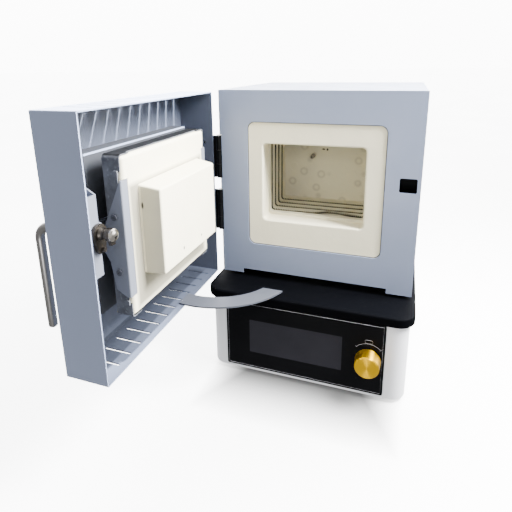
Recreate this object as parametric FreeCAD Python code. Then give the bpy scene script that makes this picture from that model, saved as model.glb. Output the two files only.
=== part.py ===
import FreeCAD, Part
import math
import os

V = FreeCAD.Vector

# All lengths are in millimetres. Everything is drawn with the furnace panel's front lower left corner
# at zero: X to the right, Y into the furnace, Z up. The door is drawn open by a right angle, to the left.
# At the end every piece moves together, so that the zero point is under the middle of the whole object.

SHEET = 1.5
WALL = 1.2
SEAT = 0.3
RUN = 0.05
TURN = 0.06

# Furnace body
PANEL_W = 240.0
PANEL_H = 239.0
BODY_D = 216.0
NOTCH_LEFT = 28.5
NOTCH_RIGHT = 29.5
NOTCH_H = 6.2
FLOOR_Z = 6.5
RAIL_W = 18.0
RAIL_IN = 7.0
RAIL_END = 14.0
OPENING_LEFT = 37.0
OPENING_RIGHT = 38.4
OPENING_LOW = 43.0
OPENING_HIGH = 37.5
OPENING_R = 9.0
COLLAR_LAP = 6.0
COLLAR_BACK = 24.0
MOUTH_LEFT = 19.5
MOUTH_RIGHT = 22.3
MOUTH_LOW = 34.5
MOUTH_HIGH = 26.8
CHAMBER_STEP = 1.4
CHAMBER_SILL = 3.5
CHAMBER_BACK = 100.0
MUFFLE_T = 22.0
BACK_T = 20.0
BOARD_T = 30.0
GROOVE_Y = (34.0, 50.0, 65.5, 82.0)
GROOVE_W = 4.2
GROOVE_DEPTH = 3.6
WIRE_R = 1.2
LEAD_OUT = 7.1
LEAD_Z = (112.0, 128.0)
LEAD_IN_BLOCK = 6.0
TERMINAL_W = 18.0
TERMINAL_D = 20.0
THERMO_IN = 41.0
THERMO_UP = 62.0
THERMO_TIP = 12.0
THERMO_R = 3.0
REAR_SCREW_IN = 7.0
REAR_SCREW_LOW = 13.5
REAR_SCREW_HIGH = 9.0
REAR_SCREW_ROWS = 4
REAR_SLOT_W = 60.0
REAR_SLOT_H = 3.0
REAR_SLOT_PITCH = 7.0
REAR_SLOT_ROWS = 7
REAR_SLOT_GAP = 24.0
REAR_SLOT_LOW = 24.0
REAR_SLOT_HIGH = 10.0

# Latch pocket
POCKET_EDGE = 4.1
POCKET_W = 18.9
POCKET_Z0 = 126.4
POCKET_Z1 = 143.4
CATCH_DEPTH = 18.0
CATCH_SIDE = 9.0
CATCH_WALL = 1.4

# Hinge: axis beside the panel's left edge, just behind its face
HINGE_X = -1.8
HINGE_Y = 1.8
KNUCKLE_R = 3.5
PIN_R = 1.6
PIN_HEAD = 1.6
HINGE_Z = (58.5, 128.5)
HINGE_H = 54.0
KNUCKLE_GAP = 0.4
LEAF_T = 2.0
LEAF_W = 26.0
LEAF_GAP = 0.6
HINGE_SCREW_END = 9.0
SCREW_R = 3.0
SCREW_HOLE = 1.6

# Door
RIM_X = -9.2
DOOR_D = 45.2
DOOR_HINGE_Y = 0.9
DOOR_SHORT = 3.2
DOOR_Z0 = -3.0
DOOR_DROP = 2.3
SLOT_COUNT = 12
SLOT_FIRST = 16.4
SLOT_LAST = 27.7
SLOT_W = 2.4
SLOT_X0 = -47.0
SLOT_X1 = -17.0
LINER_X = -36.0
LINER_FREE = 2.4
LINER_HINGE = 14.0
LINER_LOW = 1.0
LINER_HIGH = 5.0
ARC_RIN = 76.5
ARC_ROUT = 99.2
ARC_T = 2.0
ARC_TIP_Y = -33.0
ARC_ROOT_X = -16.0

# Plug
PAN_X0 = -21.0
PAN_X1 = -7.0
PAN_TAB_X = -4.0
PAN_TAB = 14.5
SLAB_X = -3.0
SLAB_FREE = 3.6
SLAB_HINGE = 4.0
SLAB_LOW = 3.0
SLAB_HIGH = 6.0
SLAB_R = 2.5
SLAB_EDGE_R = 3.5
BLOCK_X = 18.0
BLOCK_FREE = 2.3
BLOCK_HINGE = 1.5
BLOCK_LOW = 1.8
BLOCK_HIGH = 8.7
BLOCK_TAPER = 2.5
BLOCK_TOP_TAPER = 4.0
PIVOT_X = -28.0
PIVOT_Z = 120.0
PIVOT_R = 3.0
LUG_T = 3.0
LUG_R = 8.0
LUG_CLEAR = 1.6
ARM_T = 1.5
ARM_LIP = 9.5
ARM_Z0 = 66.0
ARM_Z1 = 175.0
ARM_SCREW_X = -12.5
ARM_SCREW_Z = (90.0, 142.0)
CLIP_H = 5.0
CLIP_OUT = 2.0
CLIP_GAP = 3.5

# Latch
LATCH_IN = 6.3
LATCH_UP = 9.6
ROD_R = 4.0
HANDLE_X = -75.0
HANDLE_Z = 37.0
HANDLE_BEND = 12.0
NOSE_X0 = -1.8
NOSE_T = 3.0
NOSE_R = 5.6
NOSE_LEN = 9.0
BRACKET_X = -14.0
BRACKET_Z0 = 97.0
BRACKET_Z1 = 168.0
BRACKET_TOP = 178.0
BRACKET_FOOT = 92.0
BRACKET_IN = 3.3
BRACKET_EAR = 9.0
BUSH_R = 6.5
BUSH_ROOM = 9.0
CAM_GAP = 0.6
CAM_T = 3.0
CAM_R = 8.0
CAM_LEN = 17.4
CAM_PIN_R = 2.2

# Base
PLATE_LEFT = 6.0
PLATE_RIGHT = 5.0
PLATE_FRONT = 1.3
PLATE_REAR = 3.0
PLATE_TOP = -4.0
PLATE_T = 11.4
PLATE_R = 20.0
HOUSE_FRONT = 46.2
HOUSE_REAR = 3.0
HOUSE_Z0 = -110.0
HOUSE_T = 2.2
HOUSE_R = 18.0
HOUSE_BACK_R = 4.0
GLASS_LEFT = 22.3
GLASS_RIGHT = 24.6
GLASS_Z0 = -106.5
GLASS_Z1 = -15.9
GLASS_PROUD = 1.0
GLASS_T = 2.0
GLASS_LEDGE = 4.0
GLASS_FIT = 0.2
DISPLAY_LEFT = 30.5
DISPLAY_W = 114.5
DISPLAY_Z0 = -83.7
DISPLAY_Z1 = -38.1
MODULE_D = 9.2
KNOB_IN = 18.1
KNOB_Z = -60.0
KNOB_R = 14.5
KNOB_OUT = 18.8
KNOB_GAP = 2.7
KNOB_CAP = 3.5
STEM_R = 3.0
ENCODER_W = 14.0
FOOT_R = 8.5
FOOT_H = 5.0
FOOT_SIDE = 34.0
FOOT_FAR = 23.0
FOOT_FRONT = 12.2
FOOT_REAR = 19.0
GROMMET_X = 150.0
GROMMET_BEHIND = 32.0
GROMMET_R = 9.0
INLET_X = 60.0
INLET_Z = -62.0
SWITCH_X = 110.0
FUSE_X = 148.0
REAR_LIP = 2.5
PAN_SCREW_IN = 12.0
PAN_SCREW_Y = (30.0, 150.0)
SINK_X = 24.0
SINK_Y = 60.0
SINK_W = 68.0
SINK_D = 70.0
SINK_H = 23.0
SUPPLY_IN = 18.0
SUPPLY_W = 72.0
SUPPLY_Y = 50.0
SUPPLY_D = 110.0
LEAD_WIRE_R = 1.5
LEAD_SPLIT = 2.6
LEAD_LOW = -40.0
LEAD_HIGH = 30.0
STANDOFF_IN = 21.5
STANDOFF_Z0 = -99.0
STANDOFF_Z1 = -27.0
BOARD_EDGE = 7.0
BOARD_SHEET = 1.6
BOARD_CHIPS = ((31, -50, 14, 14, 3), (61, -85, 22, 10, 4), (95, -52, 18, 18, 3), (131, -80, 12, 20, 9))
BOARD_CANS = (141.0, 153.0, 165.0)
VENT_COUNT = 9
VENT_IN = 17.6
VENT_PITCH = 5.0
VENT_W = 2.4
VENT_Z0 = -90.0
VENT_Z1 = -35.0
PAN_SLOT_COUNT = 10
PAN_SLOT_X = 106.0
PAN_SLOT_Y = 20.0
PAN_SLOT_W = 34.0
PAN_SLOT_PITCH = 9.0
SINK_BASE = 5.0
SINK_FINS = 9
SINK_FIN_T = 2.0
RELAY_X = 11.0
RELAY_Y = 6.0
RELAY_W = 45.0
RELAY_D = 58.0
RELAY_H = 22.0
RELAY_LOW = 14.0
RELAY_STEP = 12.0
SUPPLY_POST = 6.0

# Places that follow from the sizes above
NOTCH_X0 = NOTCH_LEFT
NOTCH_X1 = PANEL_W - NOTCH_RIGHT
OPENING_X0 = OPENING_LEFT
OPENING_X1 = PANEL_W - OPENING_RIGHT
OPENING_Z0 = OPENING_LOW
OPENING_Z1 = PANEL_H - OPENING_HIGH
MOUTH_X0 = OPENING_X0 + MOUTH_LEFT
MOUTH_X1 = OPENING_X1 - MOUTH_RIGHT
MOUTH_Z0 = OPENING_Z0 + MOUTH_LOW
MOUTH_Z1 = OPENING_Z1 - MOUTH_HIGH
CHAMBER_X0 = MOUTH_X0 + CHAMBER_STEP
CHAMBER_X1 = MOUTH_X1 - CHAMBER_STEP
CHAMBER_Z0 = MOUTH_Z0 + CHAMBER_SILL
CHAMBER_Z1 = MOUTH_Z1 - CHAMBER_STEP
HOT_BACK = CHAMBER_BACK + BACK_T
COOL_BACK = HOT_BACK + BOARD_T
LEAD_X = CHAMBER_X1 + MUFFLE_T + LEAD_OUT
LEAD_END_Y = COOL_BACK + LEAD_IN_BLOCK
THERMO_X = CHAMBER_X0 + THERMO_IN
THERMO_Z = CHAMBER_Z0 + THERMO_UP
POCKET_X1 = PANEL_W - POCKET_EDGE
POCKET_X0 = POCKET_X1 - POCKET_W
OUTER_X = RIM_X - DOOR_D
PLATE_INSIDE = OUTER_X + SHEET
DOOR_FREE_Y = DOOR_SHORT - PANEL_W
DOOR_Z1 = PANEL_H - DOOR_DROP
LINER_Y0 = -OPENING_X1 - LINER_FREE
LINER_Y1 = LINER_HINGE - OPENING_X0
LINER_Z0 = OPENING_Z0 + LINER_LOW
LINER_Z1 = OPENING_Z1 - LINER_HIGH
SLAB_Y0 = SLAB_FREE - OPENING_X1
SLAB_Y1 = -OPENING_X0 - SLAB_HINGE
SLAB_Z0 = OPENING_Z0 + SLAB_LOW
SLAB_Z1 = OPENING_Z1 - SLAB_HIGH
PAN_Y0 = SLAB_Y0 - SEAT - WALL
PAN_Y1 = SLAB_Y1 + SEAT + WALL
PAN_Z0 = SLAB_Z0 - SEAT - WALL
PAN_Z1 = SLAB_Z1 + SEAT + WALL
BLOCK_Y0 = BLOCK_FREE - MOUTH_X1
BLOCK_Y1 = -MOUTH_X0 - BLOCK_HINGE
BLOCK_Z0 = MOUTH_Z0 + BLOCK_LOW
BLOCK_Z1 = MOUTH_Z1 - BLOCK_HIGH
LATCH_Y = -POCKET_X0 - LATCH_IN
LATCH_Z = POCKET_Z0 + LATCH_UP
BRACKET_Y = LATCH_Y + BRACKET_IN
HOUSE_X0 = 0.0
HOUSE_X1 = PANEL_W
HOUSE_Y0 = -HOUSE_FRONT
HOUSE_Y1 = BODY_D + HOUSE_REAR
PLATE_X0 = HOUSE_X0 - PLATE_LEFT
PLATE_X1 = HOUSE_X1 + PLATE_RIGHT
PLATE_Y0 = HOUSE_Y0 - PLATE_FRONT
PLATE_Y1 = HOUSE_Y1 + PLATE_REAR
PLATE_Z0 = PLATE_TOP - PLATE_T
GLASS_X0 = HOUSE_X0 + GLASS_LEFT
GLASS_X1 = HOUSE_X1 - GLASS_RIGHT
GLASS_Y = HOUSE_Y0 - GLASS_PROUD
DISPLAY_X0 = GLASS_X0 + DISPLAY_LEFT
DISPLAY_X1 = DISPLAY_X0 + DISPLAY_W
BOARD_Y = GLASS_Y + GLASS_T + MODULE_D
KNOB_X = GLASS_X1 - KNOB_IN
KNOB_Y0 = GLASS_Y - KNOB_OUT
KNOB_Y1 = GLASS_Y - KNOB_GAP
FOOT_Z0 = HOUSE_Z0 - FOOT_H
FOOT_AT = [
    (x, y)
    for x in (HOUSE_X0 + FOOT_SIDE, HOUSE_X1 - FOOT_FAR)
    for y in (HOUSE_Y0 + FOOT_FRONT, HOUSE_Y1 - FOOT_REAR)
]
GROMMET_Y = COOL_BACK + GROMMET_BEHIND
SHIFT = V(
    -(HANDLE_X - ROD_R + PLATE_X1) / 2,
    -(DOOR_FREE_Y + PLATE_Y1) / 2,
    -FOOT_Z0,
)


def box(x0, x1, y0, y1, z0, z1):
    return Part.makeBox(x1 - x0, y1 - y0, z1 - z0, V(x0, y0, z0))


def rod(axis, a, b, start, end, radius):
    """A round bar along X, Y or Z. a and b are its other two coordinates, in the order X, Y, Z."""
    if axis == "x":
        return Part.makeCylinder(radius, end - start, V(start, a, b), V(1, 0, 0))
    if axis == "y":
        return Part.makeCylinder(radius, end - start, V(a, start, b), V(0, 1, 0))
    return Part.makeCylinder(radius, end - start, V(a, b, start), V(0, 0, 1))


def prism(axis, outline, start, end):
    """A flat outline pushed along X, Y or Z."""
    if axis == "x":
        points = [V(start, a, b) for a, b in outline]
        push = V(end - start, 0, 0)
    elif axis == "y":
        points = [V(a, start, b) for a, b in outline]
        push = V(0, end - start, 0)
    else:
        points = [V(a, b, start) for a, b in outline]
        push = V(0, 0, end - start)
    return Part.Face(Part.makePolygon(points + points[:1])).extrude(push)


def box_outline(x, y0, y1, z0, z1):
    """A rectangle across X, as a closed wire."""
    corners = [V(x, y0, z0), V(x, y1, z0), V(x, y1, z1), V(x, y0, z1)]
    return Part.makePolygon(corners + corners[:1])


def edges_along(shape, direction):
    """The straight edges of a shape that run one way."""
    found = []
    for edge in shape.Edges:
        if isinstance(edge.Curve, Part.Line):
            way = edge.tangentAt(edge.FirstParameter)
            if abs(way.dot(direction)) > 0.999:
                found.append(edge)
    return found


def rounded(shape, axis, radius):
    """Rounds every edge of a block that runs along one axis."""
    way = {"x": V(1, 0, 0), "y": V(0, 1, 0), "z": V(0, 0, 1)}[axis]
    return shape.makeFillet(radius, edges_along(shape, way))


def rim_edges(shape, axis, value):
    """Edges that lie wholly in one plane across an axis."""
    found = []
    for edge in shape.Edges:
        bounds = edge.BoundBox
        low = {"x": bounds.XMin, "y": bounds.YMin, "z": bounds.ZMin}[axis]
        high = {"x": bounds.XMax, "y": bounds.YMax, "z": bounds.ZMax}[axis]
        if abs(low - value) < 0.01 and abs(high - value) < 0.01:
            found.append(edge)
    return found


def joined(shapes):
    """One solid from several that touch."""
    whole = shapes[0].multiFuse(shapes[1:])
    return whole.removeSplitter()


def turned(profile, centre, axis):
    """A turned piece. The profile is (distance along the axis, radius), closed on the axis."""
    side = V(0, 0, 1) if abs(axis.z) < 0.5 else V(1, 0, 0)
    points = [centre + axis * along + side * radius for along, radius in profile]
    face = Part.Face(Part.makePolygon(points + points[:1]))
    return face.revolve(centre, axis, 360)


def pipe(points, radius):
    """A round wire bent sharply along a run of points."""
    spine = Part.makePolygon(points)
    way = points[1] - points[0]
    circle = Part.makeCircle(radius, points[0], way)
    return Part.Wire(spine.Edges).makePipeShell([Part.Wire([circle])], True, False, 2)


def screw(centre, axis, head_r, head_h, shank):
    """A low round head standing on a face, with its shank going the other way."""
    profile = [
        (-shank, 0),
        (-shank, head_r * 0.5),
        (0, head_r * 0.5),
        (0, head_r),
        (head_h * 0.6, head_r),
        (head_h, head_r * 0.7),
        (head_h, 0),
    ]
    return turned(profile, centre, axis)


def knuckle_spans(base):
    """Heights of the three knuckles of one hinge."""
    third = HINGE_H / 3
    low = (base, base + third - KNUCKLE_GAP / 2)
    mid = (base + third + KNUCKLE_GAP / 2, base + 2 * third - KNUCKLE_GAP / 2)
    top = (base + 2 * third + KNUCKLE_GAP / 2, base + HINGE_H)
    return low, mid, top


def hinge_notch():
    """The room that the knuckles and the pins' heads need in the body's left front edge."""
    reach = HINGE_X + KNUCKLE_R + LEAF_GAP
    top = HINGE_H + PIN_HEAD + SEAT
    return [box(-1, reach, -1, HINGE_Y + KNUCKLE_R + LEAF_GAP, z - SEAT, z + top) for z in HINGE_Z]


# Furnace body


def front_panel():
    panel = box(0, PANEL_W, 0, SHEET, 0, PANEL_H)
    panel = rounded(panel, "y", 1.0)
    notch = box(NOTCH_X0, NOTCH_X1, -1, SHEET + 1, -1, NOTCH_H)
    opening = rounded(box(OPENING_X0, OPENING_X1, -1, SHEET + 1, OPENING_Z0, OPENING_Z1), "y", OPENING_R)
    pocket = rounded(box(POCKET_X0, POCKET_X1, -1, SHEET + 1, POCKET_Z0, POCKET_Z1), "y", 2.0)
    return panel.cut([notch, opening, pocket] + hinge_notch())


def side_screw_points():
    """Where the body leaves of the hinges are screwed to the left wall."""
    y = HINGE_Y + KNUCKLE_R + LEAF_W * 0.45
    ends = (HINGE_SCREW_END, HINGE_H - HINGE_SCREW_END)
    return [V(-LEAF_T, y, base + dz) for base in HINGE_Z for dz in ends]


def body_casing():
    outer = box(0, PANEL_W, SHEET, BODY_D, 0, PANEL_H)
    top = [e for e in edges_along(outer, V(0, 1, 0)) if e.BoundBox.ZMin > 1]
    outer = outer.makeFillet(1.6, top)
    inner = box(WALL, PANEL_W - WALL, 0, BODY_D + 1, -1, PANEL_H - WALL)
    lip_room = box(WALL + 12, PANEL_W - WALL - 12, BODY_D - WALL - 1, BODY_D + 1, -2, PANEL_H - WALL - 12)
    lips = box(WALL, PANEL_W - WALL, BODY_D - WALL, BODY_D, FLOOR_Z, PANEL_H - WALL).cut(lip_room)
    shell = joined([outer.cut(inner), lips])
    holes = [rod("x", p.y, p.z, -1, WALL + 1, SCREW_HOLE) for p in side_screw_points()]
    holes += [rod("y", x, z, BODY_D - WALL - 1, BODY_D + 1, SCREW_HOLE) for x, z in rear_screw_points()]
    return shell.cut(hinge_notch() + holes)


def body_floor():
    plate = box(WALL, PANEL_W - WALL, SHEET, BODY_D - WALL - SEAT, FLOOR_Z, FLOOR_Z + WALL)
    left = box(WALL, 2 * WALL, RAIL_END, BODY_D - RAIL_END, FLOOR_Z, FLOOR_Z + 10)
    right = box(PANEL_W - 2 * WALL, PANEL_W - WALL, RAIL_END, BODY_D - RAIL_END, FLOOR_Z, FLOOR_Z + 10)
    hole = rod("z", GROMMET_X, GROMMET_Y, FLOOR_Z - 1, FLOOR_Z + WALL + 1, GROMMET_R)
    return joined([plate, left, right]).cut(hole)


def support_rails():
    rails = []
    for x0 in (RAIL_IN, PANEL_W - RAIL_IN - RAIL_W):
        x1 = x0 + RAIL_W
        bar = box(x0, x1, RAIL_END, BODY_D - RAIL_END, PLATE_TOP, FLOOR_Z)
        room = box(x0 + SHEET, x1 - SHEET, RAIL_END - 1, BODY_D, PLATE_TOP - 1, FLOOR_Z - SHEET)
        rails.append(bar.cut(room))
    return Part.makeCompound(rails)


def rear_screw_points():
    """Two columns of screws, evenly spread over the rear cover's height."""
    low = FLOOR_Z + REAR_SCREW_LOW
    step = (PANEL_H - REAR_SCREW_HIGH - low) / (REAR_SCREW_ROWS - 1)
    columns = (REAR_SCREW_IN, PANEL_W - REAR_SCREW_IN)
    return [(x, low + step * row) for row in range(REAR_SCREW_ROWS) for x in columns]


def rear_cover():
    y0, y1 = BODY_D, BODY_D + SHEET
    cover = rounded(box(0, PANEL_W, y0, y1, FLOOR_Z, PANEL_H), "y", 2.0)
    cuts = [rod("y", x, z, y0 - 1, y1 + 1, SCREW_HOLE) for x, z in rear_screw_points()]
    middle = PANEL_W / 2
    high = PANEL_H - REAR_SLOT_HIGH - REAR_SLOT_H - REAR_SLOT_PITCH * (REAR_SLOT_ROWS - 1)
    for x0 in (middle - REAR_SLOT_GAP / 2 - REAR_SLOT_W, middle + REAR_SLOT_GAP / 2):
        for start in (REAR_SLOT_LOW, high):
            for row in range(REAR_SLOT_ROWS):
                z = start + REAR_SLOT_PITCH * row
                slot = box(x0, x0 + REAR_SLOT_W, y0 - 1, y1 + 1, z, z + REAR_SLOT_H)
                cuts.append(rounded(slot, "y", REAR_SLOT_H / 2 - 0.05))
    return cover.cut(cuts)


def ceramic_collar():
    block = box(
        OPENING_X0 - COLLAR_LAP,
        OPENING_X1 + COLLAR_LAP,
        SHEET,
        COLLAR_BACK,
        OPENING_Z0 - COLLAR_LAP,
        OPENING_Z1 + COLLAR_LAP,
    )
    block = rounded(block, "y", 6.0)
    mouth = rounded(box(MOUTH_X0, MOUTH_X1, SHEET - 1, COLLAR_BACK + 1, MOUTH_Z0, MOUTH_Z1), "y", 5.0)
    collar = block.cut(mouth)
    lip = [
        edge
        for edge in rim_edges(collar, "y", SHEET)
        if edge.BoundBox.XMin > MOUTH_X0 - 1
        and edge.BoundBox.XMax < MOUTH_X1 + 1
        and edge.BoundBox.ZMin > MOUTH_Z0 - 1
        and edge.BoundBox.ZMax < MOUTH_Z1 + 1
    ]
    return collar.makeFillet(2.2, lip)


def groove_rings():
    """The four grooves that run round the chamber's floor, walls and ceiling."""
    rings = []
    for y in GROOVE_Y:
        y0 = y - GROOVE_W / 2
        y1 = y + GROOVE_W / 2
        outer = box(
            CHAMBER_X0 - GROOVE_DEPTH,
            CHAMBER_X1 + GROOVE_DEPTH,
            y0,
            y1,
            CHAMBER_Z0 - GROOVE_DEPTH,
            CHAMBER_Z1 + GROOVE_DEPTH,
        )
        rings.append(outer)
    return rings


def chamber_muffle():
    block = box(
        CHAMBER_X0 - MUFFLE_T,
        CHAMBER_X1 + MUFFLE_T,
        COLLAR_BACK,
        CHAMBER_BACK,
        CHAMBER_Z0 - MUFFLE_T,
        CHAMBER_Z1 + MUFFLE_T,
    )
    room = rounded(
        box(CHAMBER_X0, CHAMBER_X1, COLLAR_BACK - 1, CHAMBER_BACK + 1, CHAMBER_Z0, CHAMBER_Z1), "y", 4.0
    )
    cuts = [room] + groove_rings()
    x = CHAMBER_X1 + GROOVE_DEPTH
    for first, second in zip(GROOVE_Y, GROOVE_Y[1:]):
        step = box(CHAMBER_X1 - 1, x, first, second, LEAD_Z[0] - 3, LEAD_Z[1] + 3)
        cuts.append(step)
    for y, z in ((GROOVE_Y[0], LEAD_Z[1]), (GROOVE_Y[3], LEAD_Z[0])):
        cuts.append(rod("x", y, z, x - 1, CHAMBER_X1 + MUFFLE_T + 1, WIRE_R + 0.4))
    return block.cut(cuts)


def chamber_back():
    plate = box(
        CHAMBER_X0 - MUFFLE_T,
        CHAMBER_X1 + MUFFLE_T,
        CHAMBER_BACK,
        CHAMBER_BACK + BACK_T,
        CHAMBER_Z0 - MUFFLE_T,
        CHAMBER_Z1 + MUFFLE_T,
    )
    cuts = [rod("y", THERMO_X, THERMO_Z, CHAMBER_BACK - 1, CHAMBER_BACK + BACK_T + 1, THERMO_R + 0.3)]
    for column in range(5):
        for row in range(3):
            x = CHAMBER_X0 + 14 + 23 * column
            z = CHAMBER_Z0 + 20 + 26 * row
            ring = rod("y", x, z, CHAMBER_BACK - 1, CHAMBER_BACK + 0.7, 7.0)
            cuts.append(ring.cut(rod("y", x, z, CHAMBER_BACK - 2, CHAMBER_BACK + 2, 4.6)))
    return plate.cut(cuts)


def heating_wire():
    """One wire: four turns round the chamber, a step between turns, and a lead at each end."""
    sink = GROOVE_DEPTH - WIRE_R - 0.4
    x0 = CHAMBER_X0 - sink
    x1 = CHAMBER_X1 + sink
    z0 = CHAMBER_Z0 - sink
    z1 = CHAMBER_Z1 + sink
    start, end = LEAD_Z[1], LEAD_Z[0]
    points = [
        V(LEAD_X, LEAD_END_Y, start),
        V(LEAD_X, GROOVE_Y[0], start),
        V(x1, GROOVE_Y[0], start),
    ]
    for number, y in enumerate(GROOVE_Y):
        points += [V(x1, y, z1), V(x0, y, z1), V(x0, y, z0), V(x1, y, z0), V(x1, y, end)]
        if number + 1 < len(GROOVE_Y):
            points.append(V(x1, GROOVE_Y[number + 1], start))
    points += [V(LEAD_X, GROOVE_Y[-1], end), V(LEAD_X, LEAD_END_Y, end)]
    return pipe(points, WIRE_R)


def insulation_jacket():
    block = box(
        WALL + SEAT + 1.5,
        PANEL_W - WALL - SEAT - 1.5,
        SHEET + SEAT,
        CHAMBER_BACK + BACK_T,
        FLOOR_Z + WALL,
        PANEL_H - WALL - SEAT,
    )
    gap = 0.2
    collar = box(
        OPENING_X0 - COLLAR_LAP - gap,
        OPENING_X1 + COLLAR_LAP + gap,
        0,
        COLLAR_BACK + gap,
        OPENING_Z0 - COLLAR_LAP - gap,
        OPENING_Z1 + COLLAR_LAP + gap,
    )
    hollow = box(
        CHAMBER_X0 - MUFFLE_T - gap,
        CHAMBER_X1 + MUFFLE_T + gap,
        COLLAR_BACK,
        CHAMBER_BACK + BACK_T + 1,
        CHAMBER_Z0 - MUFFLE_T - gap,
        CHAMBER_Z1 + MUFFLE_T + gap,
    )
    catch = box(
        POCKET_X0 - CATCH_SIDE - 2,
        PANEL_W,
        0,
        SHEET + CATCH_DEPTH + CATCH_WALL + 1,
        POCKET_Z0 - 4,
        POCKET_Z1 + 4,
    )
    notches = [box(0, 8, 0, 9, z - 2, z + HINGE_H + PIN_HEAD + 2) for z in HINGE_Z]
    leads = [
        box(CHAMBER_X1 + MUFFLE_T, LEAD_X + 2, y - 2, CHAMBER_BACK + BACK_T + 1, z - 2, z + 2)
        for y, z in ((GROOVE_Y[0], LEAD_Z[1]), (GROOVE_Y[3], LEAD_Z[0]))
    ]
    return block.cut([collar, hollow, catch] + notches + leads)


def rear_board():
    y0 = HOT_BACK
    board = box(3.0, PANEL_W - 3.0, y0, COOL_BACK, FLOOR_Z + WALL, PANEL_H - WALL - SEAT)
    holes = [rod("y", LEAD_X, z, y0 - 1, y0 + BOARD_T + 1, WIRE_R + 0.3) for z in LEAD_Z]
    holes.append(rod("y", THERMO_X, THERMO_Z, y0 - 1, y0 + BOARD_T + 1, THERMO_R + 0.3))
    return board.cut(holes)


def thermocouple():
    """A ceramic sheath through the back wall, with its connection head behind the board."""
    centre = V(THERMO_X, CHAMBER_BACK - THERMO_TIP, THERMO_Z)
    length = COOL_BACK - centre.y
    profile = [
        (0, 0),
        (0, 1.2),
        (1.6, THERMO_R),
        (length, THERMO_R),
        (length, 10),
        (length + 16, 10),
        (length + 16, 6),
        (length + 20, 5),
        (length + 20, 0),
    ]
    return turned(profile, centre, V(0, 1, 0))


def terminal_block():
    y0 = COOL_BACK
    y1 = y0 + TERMINAL_D
    side = TERMINAL_W / 2
    block = box(LEAD_X - side, LEAD_X + side, y0, y1, LEAD_Z[0] - side, LEAD_Z[1] + side)
    block = rounded(block, "y", 2.0)
    holes = [rod("y", LEAD_X, z, y0 - 1, LEAD_END_Y, WIRE_R + RUN) for z in LEAD_Z]
    holes += [rod("y", LEAD_X, z, y0 + TERMINAL_D * 0.6, y1 + 1, LEAD_WIRE_R + SEAT) for z in LEAD_Z]
    return block.cut(holes)


def catch_box():
    x0 = POCKET_X0 - CATCH_SIDE
    x1 = PANEL_W - WALL - 0.2
    z0 = POCKET_Z0 - 2.6
    z1 = POCKET_Z1 + 2.6
    y1 = SHEET + CATCH_DEPTH + CATCH_WALL
    t = CATCH_WALL
    outer = box(x0, x1, SHEET, y1, z0, z1)
    return outer.cut(box(x0 + t, x1 - t, SHEET - 1, y1 - t, z0 + t, z1 - t))


def door_sensor():
    body = rounded(box(34, 58, 66, 82, 2.6, FLOOR_Z), "z", 2.0)
    return body


def body_hinge_leaves():
    leaves = []
    for base in HINGE_Z:
        low, mid, top = knuckle_spans(base)
        y0 = HINGE_Y + KNUCKLE_R + 0.5
        plate = box(-LEAF_T, 0, y0, HINGE_Y + KNUCKLE_R + LEAF_W, base, base + HINGE_H)
        pieces = [plate]
        for z0, z1 in (low, top):
            pieces.append(box(-LEAF_T, 0, HINGE_Y, y0 + 1, z0, z1))
            pieces.append(rod("z", HINGE_X, HINGE_Y, z0, z1, KNUCKLE_R))
        leaf = joined(pieces)
        cuts = [rod("z", HINGE_X, HINGE_Y, base - 1, base + HINGE_H + 1, PIN_R + RUN)]
        cuts += [rod("x", p.y, p.z, -LEAF_T - 1, 1, SCREW_HOLE) for p in side_screw_points()]
        leaves.append(leaf.cut(cuts))
    return Part.makeCompound(leaves)


def hinge_pins():
    pins = []
    for base in HINGE_Z:
        profile = [
            (0, 0),
            (0, PIN_R - 0.4),
            (0.4, PIN_R),
            (HINGE_H, PIN_R),
            (HINGE_H, PIN_R + 1.2),
            (HINGE_H + PIN_HEAD - 0.6, PIN_R + 1.2),
            (HINGE_H + PIN_HEAD, PIN_R + 0.2),
            (HINGE_H + PIN_HEAD, 0),
        ]
        pins.append(turned(profile, V(HINGE_X, HINGE_Y, base), V(0, 0, 1)))
    return Part.makeCompound(pins)


# Base


def base_top_plate():
    plate = rounded(box(PLATE_X0, PLATE_X1, PLATE_Y0, PLATE_Y1, PLATE_Z0, PLATE_TOP), "z", PLATE_R)
    plate = plate.makeFillet(2.2, rim_edges(plate, "z", PLATE_TOP))
    plate = plate.makeFillet(1.2, rim_edges(plate, "z", PLATE_Z0))
    return plate.cut(rod("z", GROMMET_X, GROMMET_Y, PLATE_Z0 - 1, PLATE_TOP + 1, GROMMET_R))


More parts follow.
